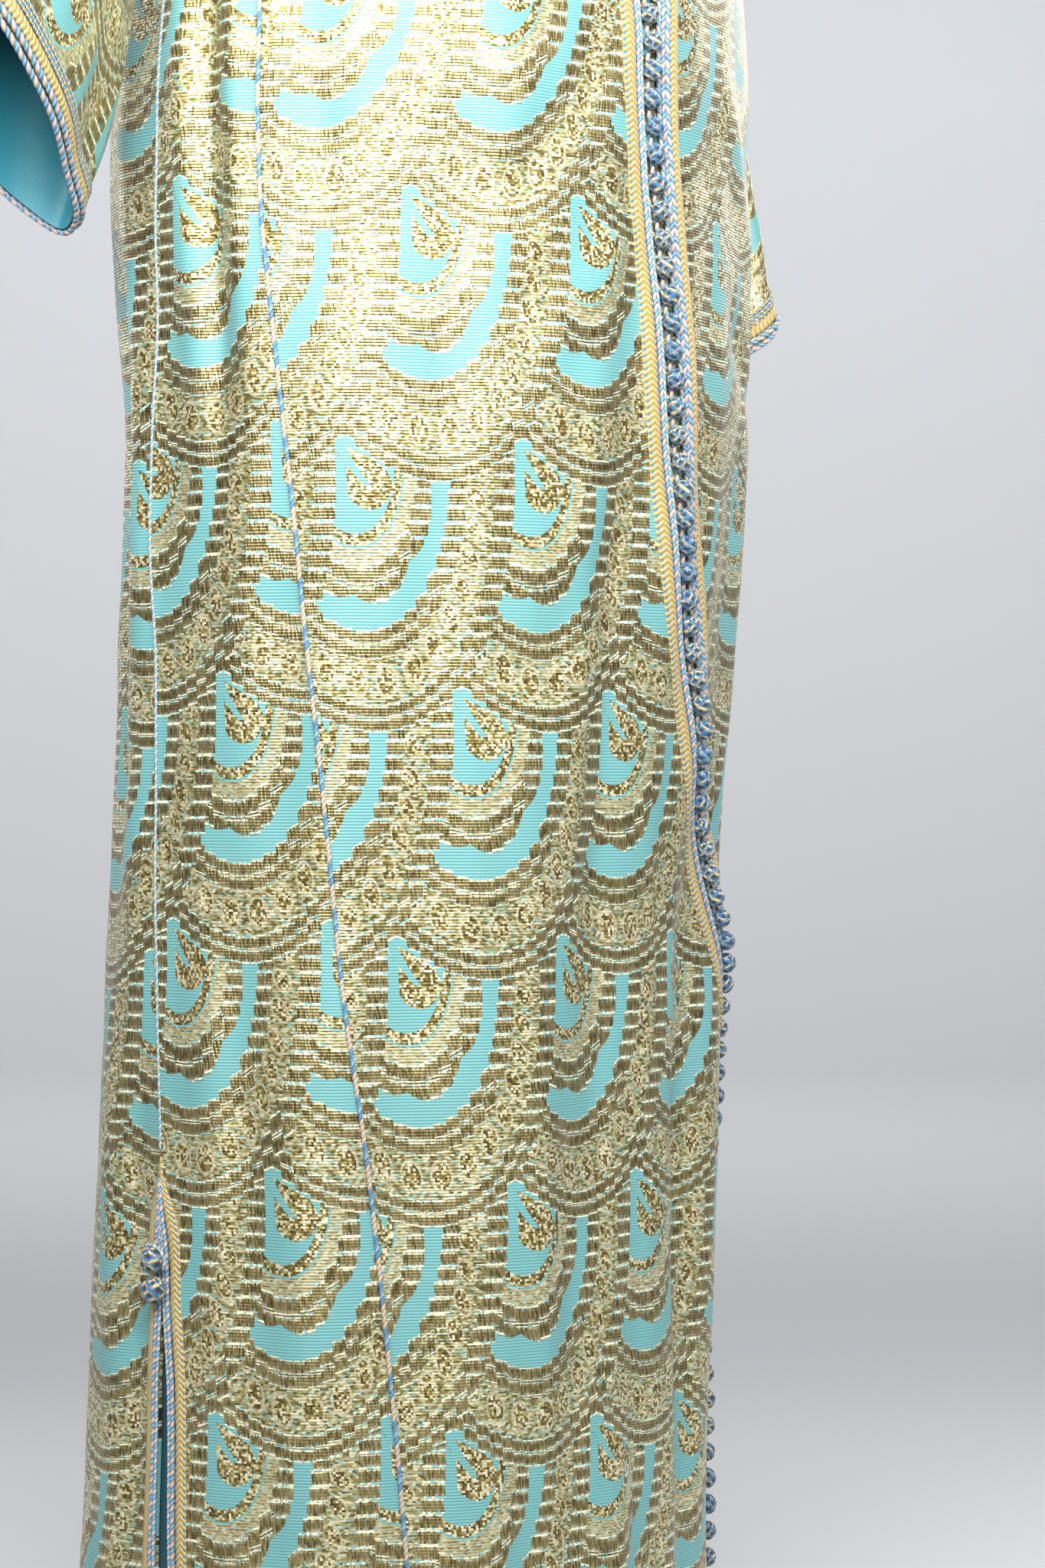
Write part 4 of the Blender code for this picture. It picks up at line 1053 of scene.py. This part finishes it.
def cord_object(name, path, ways, radius, pitch, material, closed=False, nodes=(), sides=9, step=0.0014, hand=1):
    points, faces, cloth = twisted(path, ways, radius, pitch, sides, closed, step, hand)
    volume = 0.0
    quads = np.array([f for f in faces if len(f) == 4])
    p = points[quads]
    volume = (np.cross(p[:, 0], p[:, 1]) * p[:, 2]).sum() + (np.cross(p[:, 0], p[:, 2]) * p[:, 3]).sum()
    if volume < 0:
        faces = [f[::-1] for f in faces]
    obj = make_object(name, points, faces, cloth, [material])
    if nodes:
        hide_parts(*nodes)
    return obj


def loop_cord(name, ring, normals, radius, pitch, material, nodes=()):
    path = np.concatenate([ring, ring[:1]])
    ways = np.concatenate([normals, normals[:1]])
    return cord_object(name, path, ways, radius, pitch, material, closed=True, nodes=nodes)


make_sleeve("right")
make_sleeve("left")


# ------------------------------------------------------------------ trim on the front edges
def front_point(side, distance, z, out):
    """A point of a front, a distance from the opening's edge, at a height; and the way out there."""
    z = np.asarray(z, float)
    low = np.minimum(z, UNDERARM_Z)
    t = opening_edge(low, side)
    t = t + side * degrees_of(distance, t, low)
    p0, n0 = body_base(t, low)
    high = np.maximum(z, UNDERARM_Z)
    x = side * (SEAM / 2 + straight(FRONT_GAP, high) + distance)
    p1, n1 = upper_base(x, high, -1)
    above = (z > UNDERARM_Z)[..., None]
    p, n = np.where(above, p1, p0), np.where(above, n1, n0)
    return dressed(p, n, out), n


FRONT_TOP = -0.086


def front_run(side, distance, out, top=FRONT_TOP, bottom=HEM_Z + 0.003, count=700):
    z = np.linspace(bottom, top, int(count * FINE))
    return front_point(side, distance, z, out)


def flat_braid(name, rows, ways, nodes, thickness=0.0007, across=None):
    """Braid from rows of points across it, all along its length."""
    grid, way = np.array(rows), np.array(ways)
    length = lengths_along(grid, 1)
    share = (np.linspace(0, 1, len(grid)) if across is None else np.array(across))[:, None] * np.ones_like(length)
    obj = shell(name, grid, way, np.stack([share, length, np.zeros_like(length)], -1), thickness, [BRAID])
    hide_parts(*nodes)
    return obj


def crown(share):
    return 0.0008 + 0.0009 * (1 - (2 * share - 1) ** 2) ** 0.5


for side_name, side, near, far in (("right", -1, 0.0158, 0.0268), ("left", 1, 0.0110, 0.0200)):
    rows, ways = [], []
    for share in np.linspace(0, 1, 7):
        p, n = front_run(side, near + (far - near) * share, crown(share))
        rows.append(p)
        ways.append(n)
    flat_braid("front_braid_%s_plait" % side_name, rows, ways, ["front_braid_" + side_name])

p, n = front_run(-1, 0.0142, 0.0013)
cord_object("front_cord_right_twist", p, n, 0.0014, 0.0072, CORD, nodes=["front_cord_right"])
p, n = front_run(-1, 0.0117, 0.0013)
cord_object("front_cord_right_inner", p, n, 0.0012, 0.0064, THIN, hand=-1)
p, n = front_run(1, 0.0088, 0.0018)
cord_object("front_cord_left_twist", p, n, 0.0019, 0.0090, CORD, nodes=["front_cord_left"], hand=-1)
p, n = front_run(1, 0.0053, 0.0017)
cord_object("front_cord_left_inner", p, n, 0.0018, 0.0082, CORD)
p, n = front_run(1, 0.0019, 0.0015)
cord_object("front_cord_left_edge", p, n, 0.0016, 0.0074, THIN, hand=-1)


# ------------------------------------------------------------------ knots
def knot_shape(rings=18, sectors=28):
    """A small round knot: strands crossing over a ball. Returns points for radius 1, quads and cloth values."""
    points, cloth = [], []
    for i in range(rings + 1):
        polar = math.pi * (0.02 + 0.96 * i / rings)
        for j in range(sectors):
            turn = 2 * math.pi * j / sectors
            a = turn * 2 + 2.9 * polar + 0.5 * math.sin(3 * turn)
            b = turn * 2 - 2.9 * polar + 1.1
            over_a, over_b = abs(math.cos(a)), abs(math.cos(b)) * 0.98
            h = max(over_a, over_b)
            which = a if over_a > over_b else b + 0.9
            r = 0.80 + 0.24 * h ** 0.7
            points.append((r * math.sin(polar) * math.cos(turn), r * math.sin(polar) * math.sin(turn), 1.10 * r * math.cos(polar)))
            cloth.append((h, which / math.pi * 1.0 + 10.0, turn))
    faces = []
    for i in range(rings):
        for j in range(sectors):
            a = i * sectors + j
            b = i * sectors + (j + 1) % sectors
            faces.append([a, a + sectors, b + sectors, b])
    faces.append(list(range(sectors)))
    faces.append([rings * sectors + j for j in range(sectors)][::-1])
    return np.array(points), faces, np.array(cloth)


def knots(name, centres, alongs, ways, radius, nodes):
    shape, quads, values = knot_shape()
    points, faces, cloth = [], [], []
    for k, (centre, along, way) in enumerate(zip(centres, alongs, ways)):
        along = along / np.linalg.norm(along)
        way = way - along * (way @ along)
        way /= np.linalg.norm(way)
        other = np.cross(along, way)
        turn = 2.39 * k
        size = radius * (1.12 + 0.05 * math.sin(k * 1.7 + 0.4))
        tilt = 0.28 * math.sin(k * 1.31)
        axis = along + other * tilt
        axis /= np.linalg.norm(axis)
        first = way * math.cos(turn) + other * math.sin(turn)
        first = first - axis * (first @ axis)
        first /= np.linalg.norm(first)
        basis = np.stack([first, np.cross(axis, first), axis], 0)
        moved = shape @ basis * size + centre + other * 0.0006 * math.sin(k * 2.1)
        faces += [[v + len(points) * len(shape) for v in f] for f in quads]
        points.append(moved)
        cloth.append(values + np.array([0.0, 0.13 * k, 0.0]))
    obj = make_object(name, np.concatenate(points), faces, np.concatenate(cloth), [KNOT])
    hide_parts(*nodes)
    return obj


line, way = front_run(-1, 0.0062, KNOT_R + 0.0003, top=FRONT_TOP - 0.004, bottom=HEM_Z + 0.012, count=900)
gone = np.concatenate([[0], np.cumsum(np.linalg.norm(np.diff(line, axis=0), axis=1))])
count = int(gone[-1] / KNOT_PITCH)
at = 0.004 + np.arange(count) * KNOT_PITCH
centres = np.stack([np.interp(at, gone, line[:, c]) for c in range(3)], -1)
alongs = np.stack([np.interp(at, gone, np.gradient(line[:, c], gone)) for c in range(3)], -1)
ways = np.stack([np.interp(at, gone, way[:, c]) for c in range(3)], -1)
knots("front_knots", centres, alongs, ways, KNOT_R, ["knot_row"])
core, core_way = front_run(-1, 0.0062, 0.0016, top=FRONT_TOP - 0.004, bottom=HEM_Z + 0.012, count=500)
cord_object("front_knot_bed", core, core_way, 0.0016, 0.0083, CORD)


# ------------------------------------------------------------------ cords on the seams
def seam_run(column, z, out):
    t = smooth(SEAMS, column, z)
    p, n = body_base(t, z)
    return dressed(p, n, out), n


for name, column, radius, pitch, material, bottom in (
    ("gore_cord_right", 2, 0.0015, 0.0068, PIPING, HEM_Z + 0.003),
    ("gore_cord_left", 4, 0.0015, 0.0068, PIPING, HEM_Z + 0.003),
    ("side_cord_right", 3, 0.0009, 0.0050, THIN, SLIT_APEX_Z + 0.004),
    ("side_cord_left", 5, 0.0009, 0.0050, THIN, SLIT_APEX_Z + 0.004),
):
    z = np.linspace(bottom, -0.285, int(600 * FINE))
    p, n = seam_run(column, z, radius * 0.75)
    cord_object(name + "_twist", p, n, radius, pitch, material, nodes=[name])


# ------------------------------------------------------------------ slits
def slit_point(column, leg, distance, z, out):
    edge = slit_edge(column, leg)(z)
    t = edge + leg * degrees_of(distance, edge, z)
    p, n = body_base(t, z)
    return dressed(p, n, out), n


def slit_path(column, distance, out, top, count=150):
    """A line up one side of a slit, over its point and down the other, a distance from the edge."""
    z = np.linspace(HEM_Z + 0.003, top, int(count * FINE))
    closing = ease((top - z) / 0.050)
    points, ways = [], []
    for leg in (1, -1):
        p, n = slit_point(column, leg, distance * np.maximum(closing, 0.0), z, out)
        points.append(p)
        ways.append(n)
    return np.concatenate([points[0], points[1][::-1][1:]]), np.concatenate([ways[0], ways[1][::-1][1:]])


for side_name, column in (("right", 3), ("left", 5)):
    rows, ways = [], []
    for share in np.linspace(0, 1, 7):
        p, n = slit_path(column, 0.0060 + 0.0075 * share, crown(share), SLIT_APEX_Z - 0.010 * (1 - share))
        rows.append(p)
        ways.append(n)
    rows = [r for r in rows]
    flat_braid("slit_braid_%s_plait" % side_name, rows, ways, ["slit_braid_" + side_name])
    p, n = slit_path(column, 0.0042, 0.0016, SLIT_APEX_Z - 0.013)
    cord_object("slit_cord_%s_outer" % side_name, p, n, 0.0014, 0.0070, CORD)
    p, n = slit_path(column, 0.0014, 0.0014, SLIT_APEX_Z - 0.018)
    cord_object("slit_cord_%s_inner" % side_name, p, n, 0.0012, 0.0060, THIN)
    z = np.array([-1.176, -1.194])
    p, n = seam_run(column, z, SLIT_KNOT_R + 0.0028)
    knots("slit_knots_" + side_name, p, [np.array([0, 0, 1.0])] * 2, n, SLIT_KNOT_R, ["slit_knot_%s_1" % side_name, "slit_knot_%s_2" % side_name])
    # the loop that closes over the upper knot
    middle, way = p[0], n[0]
    across_way = np.cross(way, (0.0, 0.0, 1.0))
    across_way /= np.linalg.norm(across_way)
    up = np.cross(across_way, way)
    bend = np.radians(np.linspace(-215, 35, 40))
    loop = middle + across_way * 0.0086 * np.cos(bend)[:, None] - up * 0.0086 * np.sin(bend)[:, None] + way * (0.0012 - 0.0044 * np.abs(np.sin(bend / 2 + np.pi / 4)))[:, None]
    cord_object("slit_loop_%s_twist" % side_name, loop, np.repeat(way[None], 40, 0), 0.0012, 0.0060, THIN, step=0.0010)


# ------------------------------------------------------------------ facings, where the lining shows
def make_facings():
    # the facings take the lining's darker copy, painted shade
    inside = -(WALL + 0.0012)
    z = np.linspace(HEM_Z + 0.006, -0.10, int(200 * FINE))
    rows = []
    ways = []
    for side, distance in ((-1, 0.024), (-1, 0.012), (-1, 0.0), (1, 0.0), (1, 0.010), (1, 0.020)):
        p, n = front_point(side, distance, z, inside)
        rows.append(p)
        ways.append(n)
    grid, way = np.array(rows), np.array(ways)
    length = lengths_along(grid, 1)
    across = lengths_along(grid, 0)
    obj = shell("front_facing_cloth", grid, way, np.stack([across, length, np.zeros_like(length)], -1), 0.0010, [LINING_PAINTED_SHADE])
    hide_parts("front_facing")
    declare(obj, grid)
    for side_name, column in (("right", 3), ("left", 5)):
        z = np.linspace(HEM_Z + 0.006, -1.14, int(60 * FINE))
        rows, ways = [], []
        for leg, distance in ((1, 0.016), (1, 0.008), (1, 0.0), (-1, 0.0), (-1, 0.008), (-1, 0.016)):
            p, n = slit_point(column, leg, distance, z, inside)
            rows.append(p)
            ways.append(n)
        grid, way = np.array(rows), np.array(ways)
        length = lengths_along(grid, 1)
        across = lengths_along(grid, 0)
        obj = shell("slit_facing_%s_cloth" % side_name, grid, way, np.stack([across, length, np.zeros_like(length)], -1), 0.0010, [LINING_PAINTED_SHADE])
        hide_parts("slit_facing_" + side_name)
        declare(obj, grid)


make_facings()


# ------------------------------------------------------------------ hood and neck
def shoulder_surface(x, q, out):
    x, q = np.broadcast_arrays(np.asarray(x, float), np.asarray(q, float))
    side = np.where(q >= 0, 1.0, -1.0)
    turn = SHOULDER_ROLL * math.pi / 2
    a = np.abs(q)
    z = np.where(a < turn, shoulder_z(x) - SHOULDER_ROLL * (1 - np.cos(np.minimum(a, turn) / SHOULDER_ROLL)), shoulder_z(x) - SHOULDER_ROLL - (a - turn))
    high = np.minimum(np.maximum(z, UNDERARM_Z), shoulder_z(x) - 1e-6)
    p1, n1 = upper_base(x, high, side)
    low = np.minimum(z, UNDERARM_Z)
    t = np.degrees(np.arcsin(np.clip(x / smooth(SECTION, 1, low), -1, 1)))
    p0, n0 = body_base(np.where(side > 0, 180 - t, t), low)
    below = (z <= UNDERARM_Z)[..., None]
    p, n = np.where(below, p0, p1), np.where(below, n0, n1)
    return p + n * np.asarray(out)[..., None] if np.ndim(out) else p + n * out, n


def neck_line(a):
    """x and reach of the neckline at angles round the neck, 0 at the back."""
    r = np.radians(np.abs(a))
    c = np.cos(r)
    q = np.where(c < 0, -FRONT_REACH * np.abs(c) ** 0.9, BACK_REACH * np.abs(c) ** 0.9)
    return NECK_X * np.sin(r), q


HOOD_CREASES = [  # angle_from, run_from, angle_to, run_to, depth, half_width; runs are along the hood's rows, 7 is its fold
    (0, 8.2, 0, 13.4, 0.0030, 0.007), (16, 9.0, 26, 13.2, -0.0046, 0.010), (-18, 9.4, -30, 13.2, -0.0042, 0.010),
    (34, 9.6, 46, 12.8, 0.0040, 0.010), (-36, 9.8, -52, 12.9, 0.0040, 0.011), (60, 9.5, 78, 12.4, -0.0034, 0.009),
    (-64, 9.5, -80, 12.4, -0.0034, 0.009), (-50, 12.2, 54, 12.0, 0.0036, 0.010), (-30, 11.2, 36, 11.0, -0.0030, 0.010),
]


def make_hood():
    angles = np.linspace(-158, 158, int(150 * FINE))
    keys = np.arange(len(HOOD_RUN), dtype=float)
    table = [(k, s, l) for k, (s, l) in zip(keys, HOOD_RUN)]
    runs = np.linspace(0, len(HOOD_RUN) - 1, int(110 * FINE))
    a = np.abs(angles)[None, :]
    fold_x, reach, full, rise = (smooth(HOOD, c, a) for c in (1, 2, 3, 4))
    share = smooth(table, 1, runs)[:, None]
    lift = smooth(table, 2, runs)[:, None]
    x0, q0 = neck_line(a)
    x = x0 + (fold_x - x0) * share
    q = q0 + (-reach - q0) * share
    p, n = shoulder_surface(x, q, HOOD_LIFT + full * lift)
    up = np.where((share < 0.2) & (lift > 0.9), rise * (1.0 - np.clip(share, -0.02, 0.2) / 0.12 * 0.5), 0.0)
    near = ease((0.2 - share) / 0.1) * (lift > 0.9)
    p = p + np.stack([np.zeros_like(up), np.zeros_like(up), np.maximum(up, 0) * near], -1)
    sign = np.where(angles < 0, -1.0, 1.0)[None, :]
    p[..., 0] *= sign
    n = n.copy()
    n[..., 0] *= sign
    # one side of the sheet is its outside all the way round the fold
    down, across = np.gradient(p, axis=0), np.gradient(p, axis=1)
    raw = np.cross(across, down)
    raw /= np.maximum(np.linalg.norm(raw, axis=-1, keepdims=True), 1e-12)
    if (raw[-12, p.shape[1] // 2] * n[-12, p.shape[1] // 2]).sum() < 0:
        raw = -raw
    rows = []
    for a0, r0, a1, r1, depth, width in HOOD_CREASES:
        run = np.linspace(0, 1, 10)
        i = np.interp(r0 + (r1 - r0) * run, runs, np.arange(len(runs))).round().astype(int)
        j = np.interp(a0 + (a1 - a0) * run, angles, np.arange(len(angles))).round().astype(int)
        rows.append((p[i, j], depth, width))
    move = crease_depth(p, rows) * (lift > 0.5)
    move += (0.0010 * np.sin(0.09 * angles[None, :] + 4 * share) + 0.0008 * np.sin(11 * share + 0.05 * angles[None, :])) * (lift > 0.5) * ease((lift - 0.5) / 0.3)
    p = p + raw * move[..., None]
    centre = p.shape[1] // 2
    u = lengths_along(p, 1)
    u = u - u[:, centre:centre + 1]
    v = np.repeat(-lengths_along(p[:, centre:centre + 1], 0), p.shape[1], axis=1)
    obj = shell("hood_cloth", p, raw, np.stack([u, v, np.zeros_like(u)], -1), 0.0016, [BROCADE, LINING_PAINTED_SHADE])
    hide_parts("hood")
    declare(obj, p, even=True)
    rim, rim_way = p[-1], raw[-1]
    cord_object("hood_edge_cord", rim + np.array([0, 0, 0.0008]), rim_way, 0.0015, 0.0080, CORD)
    return obj


make_hood()


def make_neck_braid():
    angles = np.linspace(-152, 152, int(240 * FINE))
    x, q = neck_line(angles)
    p, n = shoulder_surface(x, q, 0.0)
    p[..., 0] *= np.where(angles < 0, -1.0, 1.0)
    n = n.copy()
    n[..., 0] *= np.where(angles < 0, -1.0, 1.0)
    outwards = p * np.array([1.0, 1.0, 0.0])
    outwards[:, 1] += 0.012
    outwards /= np.linalg.norm(outwards, axis=1, keepdims=True)
    rows = [p + np.array([0, 0, 0.0015 + 0.008 * s]) + outwards * (0.0005 * math.sin(math.pi * s)) for s in np.linspace(0, 1, 7)]
    flat_braid("neck_braid_plait", rows, [outwards] * 7, ["neck_braid"], thickness=0.0010)


make_neck_braid()


# ------------------------------------------------------------------ stage, lights and camera
def plain_material(name, colour, rough):
    material, shader, u, v, w, place = start_material(name)
    coords = Value.tree.nodes.new("ShaderNodeTexCoord")
    grain = noise(coords.outputs["Object"], 3.0, 3.0)
    separate = Value.tree.nodes.new("ShaderNodeSeparateXYZ")
    Value.tree.links.new(coords.outputs["Object"], separate.inputs[0])
    # painted shade: the paint is lighter up the wall and darker towards the floor
    height = op("MULTIPLY_ADD", Value(separate.outputs[2]), 0.40, 0.58, clamp=True)
    shaded_paint = mix_colour(height, colour, tuple(min(c * 1.34, 0.92) for c in colour))
    Value.tree.links.new(mix_colour(grain * 0.04, shaded_paint, (0.5, 0.5, 0.5)), shader.inputs["Base Color"])
    shader.inputs["Roughness"].default_value = rough
    return material


def make_stage():
    """A pale round floor that curves up into a wall, so that every side has the same plain ground; its paint darkens
    towards the floor as painted shade.
    """
    floor_z, radius, bend, height = -1.500, 9.0, 3.0, 8.0
    profile = [(0.0, 0.0)] + [(radius - bend, 0.0)]
    for k in range(1, 13):
        a = math.pi / 2 * k / 12
        profile.append((radius - bend + bend * math.sin(a), bend - bend * math.cos(a)))
    profile.append((radius, height))
    sides = 96
    points = [(0.0, 0.0, floor_z)]
    for r, h in profile[1:]:
        points += [(r * math.cos(2 * math.pi * k / sides), r * math.sin(2 * math.pi * k / sides), floor_z + h) for k in range(sides)]
    faces = [[0, 1 + k, 1 + (k + 1) % sides] for k in range(sides)]
    for ring in range(len(profile) - 2):
        for k in range(sides):
            a, b = 1 + ring * sides + k, 1 + ring * sides + (k + 1) % sides
            faces.append([a, b, b + sides, a + sides][::-1])
    mesh = bpy.data.meshes.new("floor")
    mesh.from_pydata(points, [], faces)
    mesh.materials.append(plain_material("floor_paint", (0.61, 0.62, 0.64), 0.85))
    mesh.shade_smooth()
    obj = bpy.data.objects.new("floor", mesh)
    bpy.context.scene.collection.objects.link(obj)


def area_light(name, place, target, size, power, colour=(1, 1, 1), spread=180.0):
    data = bpy.data.lights.new(name, "AREA")
    data.shape = "RECTANGLE"
    data.size, data.size_y = size
    data.energy = power
    data.color = colour
    data.spread = math.radians(spread)
    obj = bpy.data.objects.new(name, data)
    obj.location = place
    way = Vector(target) - Vector(place)
    obj.rotation_euler = way.to_track_quat("-Z", "Y").to_euler()
    obj.visible_camera = False
    bpy.context.scene.collection.objects.link(obj)


AZIMUTH = math.radians(-50.0)
RIGHT = Vector((math.cos(AZIMUTH), math.sin(AZIMUTH), 0.0))
BACK = Vector((math.sin(AZIMUTH), -math.cos(AZIMUTH), 0.0))
DISTANCE = 2.5
MIDDLE_Z = -0.8976
SHIFT_RIGHT = 0.055
FRAME_HEIGHT = 2048 / 2100


def make_camera():
    data = bpy.data.cameras.new("camera")
    data.sensor_width = 36.0
    data.lens = 36.0 / 2 / (FRAME_HEIGHT / 2 / DISTANCE)
    obj = bpy.data.objects.new("camera", data)
    target = RIGHT * SHIFT_RIGHT + Vector((0, 0, MIDDLE_Z))
    obj.location = target + BACK * DISTANCE
    obj.rotation_euler = (-BACK).to_track_quat("-Z", "Y").to_euler()
    bpy.context.scene.collection.objects.link(obj)
    bpy.context.scene.camera = obj


def make_lights():
    bpy.context.scene.view_settings.view_transform = "Standard"
    world = bpy.data.worlds.new("soft")
    world.use_nodes = True
    world.node_tree.nodes["Background"].inputs[0].default_value = (0.95, 0.97, 1.0, 1.0)
    world.node_tree.nodes["Background"].inputs[1].default_value = 0.24
    bpy.context.scene.world = world
    key = BACK * 1.9 + RIGHT * 0.10 + Vector((0, 0, 0.34))
    area_light("key", key, Vector((0, 0, -0.18)), (3.0, 0.8), 62, (1.0, 0.99, 0.96), spread=98.0)
    fill = BACK * 1.2 + RIGHT * 2.2 + Vector((0, 0, 0.1))
    area_light("fill", fill, (0, 0, -0.6), (1.4, 1.2), 10, (0.93, 0.96, 1.0))
    rim = -BACK * 1.8 - RIGHT * 1.9 + Vector((0, 0, 0.4))
    area_light("rim", rim, (0, 0, -0.5), (1.4, 1.4), 6, (0.96, 0.98, 1.0), spread=100.0)
    back = -BACK * 2.2 + RIGHT * 1.4 + Vector((0, 0, 0.6))
    area_light("behind", back, (0, 0, -0.5), (1.6, 1.4), 9, (1.0, 0.98, 0.95), spread=100.0)
    area_light("above", (0, 0, 2.6), (0, 0, -1), (3.0, 3.0), 12, (1, 1, 1))
    area_light("backdrop", -BACK * 2.6 + Vector((0, 0, 3.0)), -BACK * 9.0 + Vector((0, 0, -0.4)), (3.4, 1.2), 150, (1, 1, 1), spread=150.0)


make_stage()
make_camera()
make_lights()
